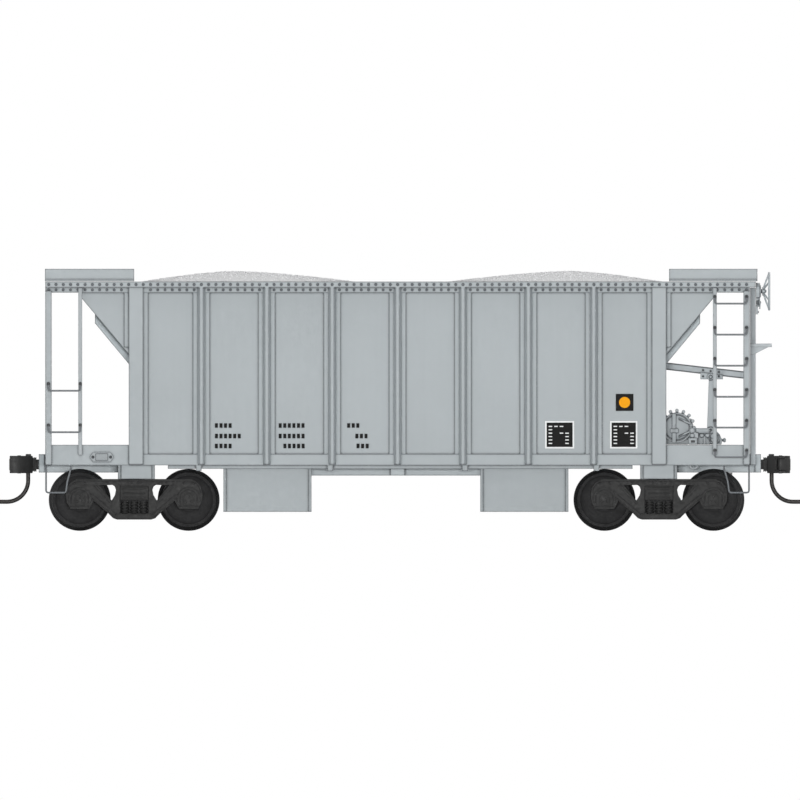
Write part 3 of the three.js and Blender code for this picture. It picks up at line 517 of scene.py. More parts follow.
def stone_load():
    shape = Shape()
    nx, ny = 300, 88
    half_x, half_y = load.x[1], load.y[1]
    grid = []
    for i in range(nx + 1):
        x = -half_x + 2 * half_x * i / nx
        row = []
        for j in range(ny + 1):
            y = -half_y + 2 * half_y * j / ny
            rim = i in (0, nx) or j in (0, ny)
            rough = 0 if rim else 0.09 * noise.noise(Vector((x * 2.1, y * 2.1, 3)))
            row.append(shape.bm.verts.new((x, y, load_height(x, y) + rough)))
        grid.append(row)
    for i in range(nx):
        for j in range(ny):
            shape.bm.faces.new((grid[i][j], grid[i + 1][j], grid[i + 1][j + 1], grid[i][j + 1]))
    rim = [grid[i][0] for i in range(nx + 1)] + [grid[nx][j] for j in range(1, ny + 1)]
    rim += [grid[i][ny] for i in range(nx - 1, -1, -1)] + [grid[0][j] for j in range(ny - 1, 0, -1)]
    low = [shape.bm.verts.new((v.co.x, v.co.y, load.z[0])) for v in rim]
    for k, vertex in enumerate(rim):
        after = (k + 1) % len(rim)
        shape.bm.faces.new((vertex, low[k], low[after], rim[after]))
    shape.bm.faces.new(low[::-1])
    stones = 9000
    for _ in range(stones):
        x = rng.uniform(-half_x + 0.5, half_x - 0.5)
        y = rng.uniform(-half_y + 0.5, half_y - 0.5)
        size = rng.uniform(0.1, 0.2)
        rock(shape, (x, y, load_height(x, y) + size * 0.05), size)
    shape.piece("crushed_stone_load", "load", STONE, ["load_insert"], "ballast_stone", 20)


ROCK_CORNERS = [(1, 0, 0), (-1, 0, 0), (0, 1, 0), (0, -1, 0), (0, 0, 1), (0, 0, -1)]
ROCK_FACES = [(0, 2, 4), (2, 1, 4), (1, 3, 4), (3, 0, 4), (2, 0, 5), (1, 2, 5), (3, 1, 5), (0, 3, 5)]


def rock(shape, centre, size):
    """A small angular stone, turned and stretched at random."""
    angle = rng.uniform(0, TURN)
    axis = Vector([rng.uniform(-1, 1) for _ in range(3)]).normalized()
    turn = Matrix.Rotation(angle, 3, axis)
    stretch = [size * rng.uniform(0.7, 1.25) for _ in range(3)]
    points = []
    for corner in ROCK_CORNERS:
        local = Vector([c * s for c, s in zip(corner, stretch)])
        points.append(Vector(centre) + turn @ local)
    shape.faces(points, ROCK_FACES)


stone_load()

# ---- ladders, grabs and steps


def grab(shape, bolts, side, inner, outer, z, post_face):
    """A drop grab iron: bolts on the posts, legs down, and the rung between them."""
    stand = side * (post_face + 0.35)
    drop, bend = 1.2, 0.3
    path = []
    for x, inward in ((inner, 1), (outer, -1)):
        leg = [(x, side * (post_face - 0.1), z + drop), (x, stand, z + drop), (x, stand, z + bend)]
        leg += [(x + inward * bend * 0.35, stand, z + bend * 0.35), (x + inward * bend, stand, z)]
        path += leg[::inward]
    shape.wire(path, 0.15, 10)
    for x in (inner, outer):
        bolts.bolt((x, side * (post_face + 0.02), z + drop), "y", side, 0.22, 0.5)


def side_ladder(name, end, side, heights):
    stile, post = 54.22, 59.65  # distances from the car's middle
    inner, outer = (stile, post) if end > 0 else (-post, -stile)
    post_face = 17.4
    stile_x = about(end * stile, 0.33)
    height = (12.96, 41.55)
    frame_shape = Shape()
    # Angle section: a face and a flange behind it.
    frame_shape.box(stile_x, outwards(side, 17.14, post_face), height)
    flange = (stile_x[0], stile_x[0] + 0.16) if end > 0 else (stile_x[1] - 0.16, stile_x[1])
    frame_shape.box(flange, outwards(side, 17.0, 17.2), height)
    frame_shape.bevelled(0.04, 1)
    frame_shape.piece(f"{name}_stile", "car", POST_GREY, [f"side_{name}"])
    rungs, bolts = Shape(), Shape()
    for z in heights:
        grab(rungs, bolts, side, inner, outer, z, post_face)
    rungs.piece(f"{name}_rungs", "car", WIRE_GREY)
    bolts.piece(f"{name}_bolts", "car", BOLT_GREY)


FULL_LADDER = [12.57, 17.65, 22.91, 28.22, 33.53, 38.83]
TWO_GRABS = [16.86, 23.94]
for fittings, car_end, rung_heights in (("ladder_b", 1, FULL_LADDER), ("grabs_a", -1, TWO_GRABS)):
    side_ladder(f"{fittings}_near", car_end, NEAR, rung_heights)
    side_ladder(f"{fittings}_far", car_end, FAR, rung_heights)


def end_ladder(node):
    cad = Box(node)
    shape = Shape()
    sign = 1 if cad.centre[0] > 0 else -1
    x_rung = cad.centre[0] + 0.08 * sign
    face = cad.x[1] - 0.1 if sign > 0 else cad.x[0] + 0.1
    inner, outer = cad.y[0] + 0.15, cad.y[1] - 0.15
    for y in (inner, outer):
        shape.box((cad.x[0] + 0.1, cad.x[1] - 0.1), about(y, 0.14), cad.z)
    shape.bevelled(0.04, 1)
    for z in (19.5, 24.5, 29.5, 34.5, 38.5):
        shape.wire([(x_rung, inner, z), (x_rung, outer, z)], 0.15, 10)
        for y in (inner, outer):
            shape.rivet((face, y, z), "x", sign, 0.13)
    shape.piece(f"{node}_wirework", "car", WIRE_GREY, [node])


end_ladder("end_ladder_a")
end_ladder("end_ladder_b")


def stirrup(node):
    """A bent flat strap, drawn as a round wire down the outer leg, along the foot and up the inner leg."""
    cad = Box(node)
    end = math.copysign(1, cad.centre[0])
    y = cad.centre[1]
    outer, inner = 60.06 * end, 55.68 * end
    low = cad.z[0] + 0.13
    top = cad.z[1]
    corner = 0.35 * end
    path = [(outer, y, top), (outer, y, low + 0.35), (outer - corner * 0.3, y, low + 0.1)]
    path += [(outer - corner, y, low), (56.95 * end, y, low), (56.72 * end, y, low + 0.12)]
    path += [(56.62 * end, y, low + 0.4), (56.42 * end, y, low + 1.9), (inner, y, top)]
    shape = Shape()
    shape.wire(path, 0.15, 10)
    shape.piece(f"{node}_strap", "car", WIRE_GREY, [node])


for corner_name in ("a_near", "a_far", "b_near", "b_far"):
    stirrup(f"stirrup_step_{corner_name}")


def card_holder(node):
    cad = Box(node)
    side = math.copysign(1, cad.centre[1])
    low, high = cad.x
    z0, z1 = cad.z[0] - 0.1, cad.z[1] + 0.12
    middle = (z0 + z1) / 2
    ends = (low + 0.55, high - 0.55)  # where the pointed ends start
    outline = [(low, middle), (ends[0], z0), (ends[1], z0), (high, middle), (ends[1], z1), (ends[0], z1)]
    face = 16.97
    shape = Shape()
    shape.prism(outline, outwards(side, face, face + 0.22))
    shape.prism(
        [(low + 1.0, z0 + 0.22), (high - 1.0, z0 + 0.22), (high - 1.0, z1 - 0.22), (low + 1.0, z1 - 0.22)],
        outwards(side, face + 0.15, face + 0.34),
    )
    shape.bevelled(0.05, 2)
    shape.piece(f"{node}_plate", "car", POST_GREY, [node])
    bolts = Shape()
    for x in ends:
        bolts.rivet((x, side * (face + 0.2), middle), "y", side, 0.24, 0.18, 12)
    bolts.piece(f"{node}_bolts", "car", BOLT_GREY)


card_holder("card_holder_near")
card_holder("card_holder_far")

# ---- hand brake


def brake_wheel():
    cad = Box("brake_wheel")
    centre = (0, cad.centre[1], cad.centre[2])
    rim_x = cad.x[1] - 0.2
    radius = 3.12
    hub_x = cad.x[0] + 0.5
    angles = [TURN * i / 64 for i in range(64)]
    rim = [(rim_x, centre[1] + radius * math.cos(a), centre[2] + radius * math.sin(a)) for a in angles]
    shape = Shape()
    shape.wire(rim, 0.2, 12, closed=True)
    spokes = 6
    for i in range(spokes):
        a = TURN * i / spokes + math.pi / 2
        spoke = []
        for t in (0, 0.25, 0.5, 0.75, 1):
            r = 0.45 + (radius - 0.5) * t
            x = hub_x + 0.35 + (rim_x - hub_x - 0.35) * (t**1.15)
            spoke.append((x, centre[1] + r * math.cos(a), centre[2] + r * math.sin(a)))
        shape.wire(spoke, 0.15, 8)
    hub = [(0, -0.45), (0.36, -0.45), (0.36, 0.1), (0.75, 0.12), (0.7, 0.5), (0.4, 0.62), (0, 0.62)]
    shape.turned(hub, (hub_x, *centre[1:]), "x", 24)
    shape.bolt((hub_x + 0.6, *centre[1:]), "x", 1, 0.26, 0.25)
    shape.piece("spoked_brake_wheel", "hand_wheel", POST_GREY, ["brake_wheel"])


def brake_housing():
    cad = Box("brake_housing")
    y, z = cad.centre[1], 40.95
    back = cad.x[0]
    shape = Shape()
    outline = arc((y, z), 1.45, -25, 205, 18) + [(y - 1.15, 39.9), (y + 1.15, 39.9)]
    shape.prism(outline, (back, back + 0.62), "x")
    shape.prism(arc((y, z), 1.05, 0, 345, 23), (back + 0.5, back + 0.84), "x")
    shape.box((back, back + 0.7), about(y, 0.5), (38.3, 40.1))
    shape.box((back, back + 0.35), about(y, 0.75), (37.0, 38.4))
    shape.bevelled(0.07, 2)
    shape.turned([(0.47, 0.55), (0.7, 0.55), (0.7, 0.87), (0.47, 0.87)], (back, y, z), "x", 24)
    for dy in (-0.5, 0.5):
        shape.bolt((back + 0.35, y + dy, 37.4), "x", 1, 0.14, 0.15)
    for angle in range(30, 360, 60):
        a = math.radians(angle)
        shape.rivet((back + 0.6, y + 1.2 * math.cos(a), z + 1.2 * math.sin(a)), "x", 1, 0.12, 0.1)
    # Chain drum under the housing, with a pawl lever beside it.
    shape.turned([(0, -0.55), (0.42, -0.55), (0.42, 0.55), (0, 0.55)], (back + 0.45, y, 39.0), "y", 20)
    pawl = [(back + 0.5, y - 0.6, 40.0), (back + 0.7, y - 0.75, 38.9), (back + 0.65, y - 0.7, 37.9)]
    shape.wire(pawl, 0.1, 8)
    shape.piece("ratchet_housing", "car", POST_GREY, ["brake_housing"])


def brake_mast():
    cad = Box("brake_mast")
    shape = Shape()
    y0, y1 = cad.y
    web = (cad.x[0], cad.x[0] + 0.3)
    # Channel section, open towards the end of the car.
    shape.box(web, (y0 + 0.25, y1 - 0.25), cad.z)
    for flange in ((y0, y0 + 0.3), (y1 - 0.3, y1)):
        shape.box(cad.x, flange, cad.z)
    shape.bevelled(0.05, 1)
    for z in [cad.z[0] + 1 + 3.1 * i for i in range(10)]:
        shape.rivet((cad.x[0] + 0.3, cad.centre[1], z), "x", 1, 0.14, 0.1)
    shape.piece("brake_mast_channel", "car", POST_GREY, ["brake_mast"])


def brake_step():
    """Open grid of bars in a frame, on two triangular brackets that clear the mast."""
    cad = Box("brake_step")
    shape = Shape()
    x0, x1 = cad.x
    y0, y1 = cad.y
    deck = (31.55, 32.0)
    shape.box((x0, x0 + 0.3), (y0 + 0.2, y0 + 2.5), deck)
    shape.box((x0, x0 + 0.3), (y1 - 2.5, y1 - 0.2), deck)
    shape.box((x1 - 0.3, x1), (y0 + 0.2, y1 - 0.2), (31.4, 32.0))
    for y in (y0, y1 - 0.25):
        shape.box((x0, x1), (y, y + 0.25), (31.4, 32.0))
    bars = 13
    for i in range(1, bars):
        y = y0 + (y1 - y0) * i / bars
        start = x0 + 1.1 if abs(y - cad.centre[1]) < 0.8 else x0 + 0.1
        shape.box((start, x1 - 0.1), about(y, 0.09), deck)
    for x in (x0 + 1.15, x0 + 2.4):
        shape.box(about(x, 0.1), (y0 + 0.2, y1 - 0.2), (31.5, 31.95))
    for y in (cad.centre[1] - 1.2, cad.centre[1] + 1.2):
        bracket = [(x0, 31.6), (x0, cad.z[0]), (x0 + 0.5, cad.z[0]), (x1 - 0.4, 31.5), (x1 - 0.4, 31.6)]
        shape.prism(bracket, about(y, 0.14))
    shape.bevelled(0.03, 1)
    shape.piece("brake_step_grid", "car", POST_GREY, ["brake_step"])


brake_wheel()
brake_housing()
brake_mast()
brake_step()

# ---- air brake gear


def air_reservoir():
    cad = Box("air_reservoir")
    x, z = cad.centre[0], cad.z[0] + 2.85
    front = -14.2
    shape = Shape()
    drum = [(0, 8.4), (1.4, 8.3), (2.2, 7.9), (2.45, 7.3), (2.5, 0.3), (2.5, 0.2), (0, 0.2)]
    shape.turned(drum, (x, front, z), "y", 56)
    flange = [(0, 0.35), (2.58, 0.35), (2.6, 0.2), (2.6, -0.12), (2.52, -0.2), (2.3, -0.2), (2.25, -0.05)]
    flange += [(0, -0.05)]
    shape.turned(flange, (x, front, z), "y", 64)
    head = [(0, -0.02), (2.12, -0.02), (2.0, -0.3), (1.5, -0.52), (0.6, -0.62), (0, -0.62)]
    shape.turned(head, (x, front, z), "y", 56)
    bolts = 16
    for i in range(bolts):
        a = TURN * i / bolts
        at = (x + 2.93 * math.cos(a), front - 0.05, z + 2.93 * math.sin(a))
        if at[2] > cad.z[0] + 0.3:  # clear of the deck
            stud = [(0, -0.22), (0.2, -0.22), (0.29, -0.14), (0.3, 0.35), (0, 0.35)]
            shape.turned(stud, at, "y", 14)
            corners = ((2.5, a - 0.1), (2.95, a - 0.09), (2.95, a + 0.09), (2.5, a + 0.1))
            lug = [(x + reach * math.cos(b), z + reach * math.sin(b)) for reach, b in corners]
            shape.prism(lug, (front - 0.1, front + 0.25))
    shape.piece("air_reservoir_drum", "car", POST_GREY, ["air_reservoir"])
    details = Shape()
    details.box(about(x - 0.5, 0.33), (front - 0.74, front - 0.1), (z - 2.6, z + 2.35))
    details.box((x - 1.15, x + 0.25), (front - 0.86, front - 0.5), about(z - 0.55, 0.34))
    for sign in (-1, 1):
        rib = ((0.3, 1.7), (2.3, 0.8), (2.3, 0.5), (0.3, 1.3))
        rib = [(x + along, z + sign * up) for along, up in rib][::-sign]
        details.prism(rib, (front - 0.6, front - 0.2))
    details.box((x - 2.2, x + 2.2), (-12.8, -12.3), (cad.z[0], z - 1.2))
    details.box((x - 2.2, x + 2.2), (-7.8, -7.3), (cad.z[0], z - 1.2))
    details.bevelled(0.06, 2)
    details.piece("reservoir_straps", "car", POST_GREY)


def control_valve():
    """Valve body on a pipe bracket: cylinder on top, ribbed belly, domed bonnet and small caps."""
    cad = Box("control_valve")
    floor = cad.z[0]
    front, back = -15.25, -12.0
    shape = Shape()
    shape.box((51.1, 53.5), (front, back), (floor, floor + 1.45))
    shape.box((51.3, 54.6), (front + 0.3, back), (floor + 1.3, floor + 2.35))
    dome = [(53.5, floor), (55.35, floor), (55.5, 15.5), (55.0, 16.55), (54.35, 17.2), (53.8, 17.5)]
    dome += [(53.5, 17.5)]
    shape.prism(dome, (front + 0.15, back))
    for x in (51.55, 52.15, 52.75, 53.35):
        shape.box(about(x, 0.12), (front - 0.14, front + 0.1), (floor + 0.1, floor + 1.3))
    shape.box((49.75, 51.2), (-15.88, -14.98), (floor, 15.86))
    shape.bevelled(0.1, 2)
    barrel = [(0, 0), (0.42, 0), (0.46, 0.2), (0.46, 2.1), (0.3, 2.3), (0, 2.3)]
    shape.turned(barrel, (51.0, front + 0.15, 17.1), "x", 24)
    for z, radius in ((16.28, 0.36), (17.15, 0.42)):
        knob = [(0, 0.4), (radius, 0.4), (radius, -0.3), (radius * 0.7, -0.42), (0, -0.42)]
        shape.turned(knob, (50.35, -15.4, z), "y", 20)
    shape.box((50.2, 51.4), (-15.45, -14.9), (15.8, 16.9))
    for x, radius in ((52.0, 0.36), (53.0, 0.4), (53.9, 0.44)):
        boss = [(0, 0.2), (radius, 0.2), (radius, -0.2), (radius * 0.6, -0.32), (0, -0.32)]
        shape.turned(boss, (x, front + 0.2, 16.25), "y", 20)
    bonnet = [(0, 0), (0.32, 0), (0.22, 0.12), (0.22, 0.24), (0.36, 0.36), (0.38, 0.56), (0.26, 0.74)]
    bonnet += [(0, 0.78)]
    shape.turned(bonnet, (55.35, -13.6, 15.5), "x", 24)
    rim = [(0.78, 0.1), (0.95, 0.1), (0.95, -0.12), (0.78, -0.12)]
    shape.turned(rim, (54.1, front, 15.85), "y", 32)
    for x, z in ((51.5, 16.6), (54.9, 15.2), (54.9, 16.3), (53.6, 17.2)):
        shape.bolt((x, front + 0.16, z), "y", -1, 0.13, 0.16)
    shape.piece("control_valve_body", "car", POST_GREY, ["control_valve"])
    vent = Shape()
    vent.box((50.15, 50.8), (-15.93, -15.8), (floor + 0.35, floor + 0.72))
    vent.bevelled(0.03, 1)
    vent.piece("control_valve_vent", "car", BOLT_GREY)


def brake_cylinder():
    cad = Box("brake_cylinder")
    y = -2.6
    z = 17.0
    x0 = cad.x[0]
    shape = Shape()
    barrel = [(0, 0), (1.5, 0.05), (2.0, 0.35), (2.05, 0.8), (2.05, 6.1), (2.2, 6.15), (2.2, 6.6)]
    barrel += [(1.2, 6.9), (0.7, 7.0), (0.6, 7.5), (0, 7.5)]
    shape.turned(barrel, (x0, y, z), "x", 48)
    shape.wire([(x0 + 7, y, z), (53.6, y, z)], 0.3, 12)
    for i in range(8):
        a = TURN * i / 8
        shape.bolt((x0 + 6.58, y + 1.85 * math.cos(a), z + 1.85 * math.sin(a)), "x", 1, 0.16, 0.16)
    clevis = Shape()
    clevis.box((53.1, 54.0), (-5.1, -2.2), about(z, 0.32))
    clevis.box((x0 + 1.0, x0 + 6.0), about(y, 1.2), (cad.z[0], z - 1.4))
    clevis.bevelled(0.06, 2)
    shape.add(clevis)
    shape.piece("brake_cylinder_body", "car", POST_GREY, ["brake_cylinder"])


def lever_gear():
    cad = Box("lever_beam")
    x0, x1 = cad.x
    slope = -1.51 / 13.2

    def top(x):
        return 28.78 + (x - 45.93) * slope

    beam = Shape()
    y = (-5.2, -4.4)

    def band(drop, height):
        """A sloping strip whose upper edge is the drop given below the beam's top."""
        low = drop + height
        return [(x0, top(x0) - low), (x1, top(x1) - low), (x1, top(x1) - drop), (x0, top(x0) - drop)]

    beam.prism(band(0, 1.25), (-5.1, -4.5))
    for drop in (0, 1.12):
        beam.prism(band(drop, 0.15), y)
    beam.prism([(51.75, 25.9), (55.6, 25.9), (55.6, 26.6), (51.75, 27.1)], (-5.42, -4.6))
    beam.bevelled(0.05, 2)
    beam.piece("lever_beam_channel", "car", POST_GREY, ["lever_beam"])
    bolts = Shape()
    for x in (52.2, 53.5, 54.9):
        bolts.rivet((x, -5.42, 26.4), "y", -1, 0.17, 0.12, 12)
        bolts.rivet((x, -5.1, top(x) - 0.6), "y", -1, 0.17, 0.2, 12)
    bolts.piece("lever_beam_bolts", "car", BOLT_GREY)
    lever = Shape()
    outline = [(52.86, 16.5), (54.1, 16.5), (53.88, 26.6), (53.2, 26.6)]
    lever.prism(outline, (-5.9, -5.5))
    lever.bevelled(0.08, 2)
    for z, radius in ((17.1, 0.72), (26.3, 0.6)):
        boss = [(0, 0), (radius, 0), (radius, -0.5), (radius * 0.7, -0.58), (0, -0.58)]
        lever.turned(boss, (53.5, -5.45, z), "y", 24)
        lever.bolt((53.5, -6.0, z), "y", -1, 0.25, 0.2)
    lever.piece("brake_lever_bar", "car", POST_GREY, ["brake_lever"])


air_reservoir()
control_valve()
brake_cylinder()
lever_gear()

# ---- trucks


def sideframe(end, side):
    """Cast sideframe: arched top chord, tension bars, columns, spring nest, journal boxes and caps."""
    node = f"sideframe_{end}_{'near' if side < 0 else 'far'}"
    cad = Box(node)
    cx = cad.centre[0]
    inner, outer = 11.75, 13.0
    journals = (-9.3, 9.3)

    def at(points):
        return [(cx + x, z) for x, z in points]

    def flip(points):
        return [(-x, z) for x, z in points][::-1]

    half = [(2.9, 1.92), (3.6, 2.15), (4.4, 2.95), (6.9, 5.1), (7.5, 3.9), (11, 3.9), (11.55, 4.9)]
    half += [(11.7, 6.4), (11.4, 7.6), (10.8, 8.4), (9.9, 8.84)]
    window = [(3.85, 5.2), (5.9, 7.75), (3.7, 7.85), (3.3, 7.55), (3.12, 7), (3.3, 6.1)]
    opening = [(-2.4, 3.05), (2.4, 3.05), (2.4, 7.64), (-2.4, 7.64)]
    body = Shape()
    holes = [at(window), at(flip(window)), at(opening)]
    body.plate(at(half + flip(half)), holes, outwards(side, inner, outer))
    body.bevelled(0.1, 3)

    detail = Shape()

    def raised(points, proud, sunk=0.1, both_ends=False):
        """A rib or pad that stands proud of the casting's face."""
        for shown in (points, flip(points))[: 1 + both_ends]:
            detail.prism(at(shown), outwards(side, outer - sunk, outer + proud))

    rib = [(3.3, 2.3), (4.2, 3.15), (7.55, 5.95), (7.2, 6.3), (3.9, 3.5), (3.0, 2.65)]
    raised(rib, 0.2, both_ends=True)
    inner_rib = [(3.9, 4.55), (6.85, 7.7), (6.55, 7.9), (3.7, 4.9)]
    raised(inner_rib, 0.12, both_ends=True)
    roof = [(-9.9, 8.5), (9.9, 8.5), (9.9, 8.86), (-9.9, 8.86)]
    raised(roof, 0.2)
    shoulder = [(9.7, 8.5), (10.6, 8.15), (11.15, 7.45), (11.45, 6.4), (11.65, 6.45), (11.35, 7.55)]
    shoulder += [(10.75, 8.35), (9.8, 8.75)]
    raised(shoulder, 0.2, both_ends=True)
    seat = [(-2.9, 2.0), (2.9, 2.0), (3.4, 2.3), (3.1, 2.9), (-3.1, 2.9), (-3.4, 2.3)]
    detail.prism(at(seat), outwards(side, inner + 0.1, outer + 0.3))
    spring_back = [(-2.6, 2.9), (2.6, 2.9), (2.6, 5.4), (-2.6, 5.4)]
    detail.prism(at(spring_back), outwards(side, 12.0, 12.3))
    for x in journals:
        hood = arc((x, 5.45), 1.95, -20, 200, 18) + arc((x, 5.45), 1.6, 200, -20, 18)
        raised(hood, 0.18, 0.2)
        detail.box(about(cx + x, 1.35), outwards(side, inner - 0.2, outer + 0.1), (4.0, 6.6))
        detail.box(about(cx + x, 1.7), outwards(side, inner + 0.1, outer + 0.2), (3.72, 4.1))
        tomb = [(x - 0.85, 4.35), (x + 0.85, 4.35), (x + 0.85, 5.5)]
        tomb += arc((x, 5.5), 0.85, 10, 170, 10) + [(x - 0.85, 5.5)]
        raised(tomb, 0.3)
    detail.bevelled(0.07, 2)
    body.add(detail)

    for x in journals:
        for angle in (90, 210, 330):
            a = math.radians(angle)
            bolt_at = (cx + x + 0.52 * math.cos(a), side * 13.3, 5.3 + 0.6 * math.sin(a))
            body.rivet(bolt_at, "y", side, 0.2, 0.1, 6)
        plug = [(0, 13.25), (0.3, 13.25), (0.26, 13.36), (0, 13.38)]
        body.turned(plug, (cx + x, 0, 5.25), "y", 16, side)
        for dx in (-0.9, 0.9):
            body.rivet((cx + x + dx, side * outer, 8.1), "y", side, 0.2, 0.12)
    for x in (-1.6, 0, 1.6):
        coils, steps = 4.5, 16
        helix = []
        for i in range(int(coils * steps) + 1):
            a = TURN * i / steps
            z = 2.7 + 2.3 * i / (coils * steps)
            helix.append((cx + x + 0.52 * math.cos(a), side * 12.5 + 0.52 * math.sin(a), z))
        body.wire(helix, 0.21, 8)
        body.turned([(0, 2.7), (0.55, 2.7), (0.55, 5.0), (0, 5.0)], (cx + x, side * 12.5, 0), "z", 16)
    for x in (-5.4, -4.6, -1.1, -0.4, 0.4, 1.1, 4.6, 5.4):
        body.rivet((cx + x, side * outer, 8.25), "y", side, 0.15, 0.1)
    body.piece(f"{node}_casting", f"truck_{end}", BLACK, [node], "black_plastic")


def truck_bolster(end):
    node = f"truck_bolster_{end}"
    cad = Box(node)
    cx = cad.centre[0]
    shape = Shape()
    half = cad.y[1]
    across = [(-half, 5.3), (-10.4, 5.3), (-6, 5.15), (6, 5.15), (10.4, 5.3), (half, 5.3)]
    across += [(half, 7.66), (-half, 7.66)]
    shape.prism(across, about(cx, 2.4), "x")
    for side in (-1, 1):
        face = outwards(side, half - 0.1, half + 0.12)
        shape.box(about(cx, 1.9), face, (5.5, 5.75))
        shape.box(about(cx, 1.9), face, (6.3, 6.5))
        shape.box(about(cx, 1.9), face, (7.15, 7.4))
    shape.bevelled(0.12, 2)
    bowl = [(1.2, 7.55), (2.1, 7.55), (2.1, 8.1), (1.95, 8.2), (1.2, 8.2)]
    shape.turned(bowl, (cx, 0, 0), "z", 40)
    for side in (-1, 1):
        pad = [(0, 7.5), (0.9, 7.5), (0.9, 7.85), (0.75, 7.95), (0, 7.95)]
        shape.turned(pad, (cx, side * 7, 0), "z", 24)
    shape.piece(f"{node}_casting", f"truck_{end}", BLACK, [node], "black_plastic")


def wheel_profile(front, back):
    """Half section of a wheel with its flange at the back: rim, dished plate, hub and fillets."""
    width = front - back
    return [
        (1.06, 0), (1.9, 0), (2.1, 0.15), (3.3, 0.3), (3.95, 0.1), (4.1, 0), (4.95, 0), (5.2, 0.12),
        (5.3, 0.3), (5.28, 0.45), (5.1, 0.62), (4.86, 0.78), (4.78, 0.95), (4.74, width - 0.15),
        (4.66, width), (4.15, width), (4.08, width - 0.06), (3.95, width - 0.12),
        (3.3, width - 0.2), (2.4, width - 0.2), (2.05, width - 0.14), (1.9, width - 0.05),
        (1.75, width - 0.03), (1.06, width - 0.05),
    ]


def wheelset(end, place):
    body = f"wheelset_{end}_{place}"
    for side_name, side in (("near", NEAR), ("far", FAR)):
        node = f"wheel_{end}_{place}_{side_name}"
        cad = Box(node)
        centre = (cad.centre[0], 0, cad.centre[2])
        back, front = sorted(abs(v) for v in cad.y)
        shape = Shape()
        profile = [(r, back + h) for r, h in wheel_profile(front, back)]
        shape.turned(profile, centre, "y", 72, side)
        piece = shape.piece(f"{node}_turned", body, [BLACKENED, TREAD_STEEL], [node], "blackened_metal", 40)
        # The tread is bright where it runs on the rail.
        for polygon in piece.data.polygons:
            middle = polygon.center
            across = abs(middle.y) / MM
            radius = math.hypot(middle.x / MM - BODY_MIDDLE - centre[0], middle.z / MM - centre[2])
            if 4.5 < radius and back + 0.9 < across < front - 0.1:
                polygon.material_index = 1
    node = f"axle_{end}_{place}"
    cad = Box(node)
    half = cad.y[1]
    shape = Shape()
    profile = [(0, 0.0), (0.06, 0.05), (0.5, 0.75), (0.98, 1.4), (1.0, 1.6), (1.0, 4.9), (1.02, 5.1)]
    profile += [(0.8, 6.2), (0.75, 8)]
    left = [(r, -half + h) for r, h in profile]
    right = [(r, half - h) for r, h in profile][::-1]
    shape.turned(left + right, (cad.centre[0], 0, cad.centre[2]), "y", 40)
    shape.piece(f"{node}_turned", body, STEEL, [node], "bright_steel", 40)


for truck_end in ("a", "b"):
    sideframe(truck_end, NEAR)
    sideframe(truck_end, FAR)
    truck_bolster(truck_end)
    wheelset(truck_end, "outer")
    wheelset(truck_end, "inner")

# ---- couplers


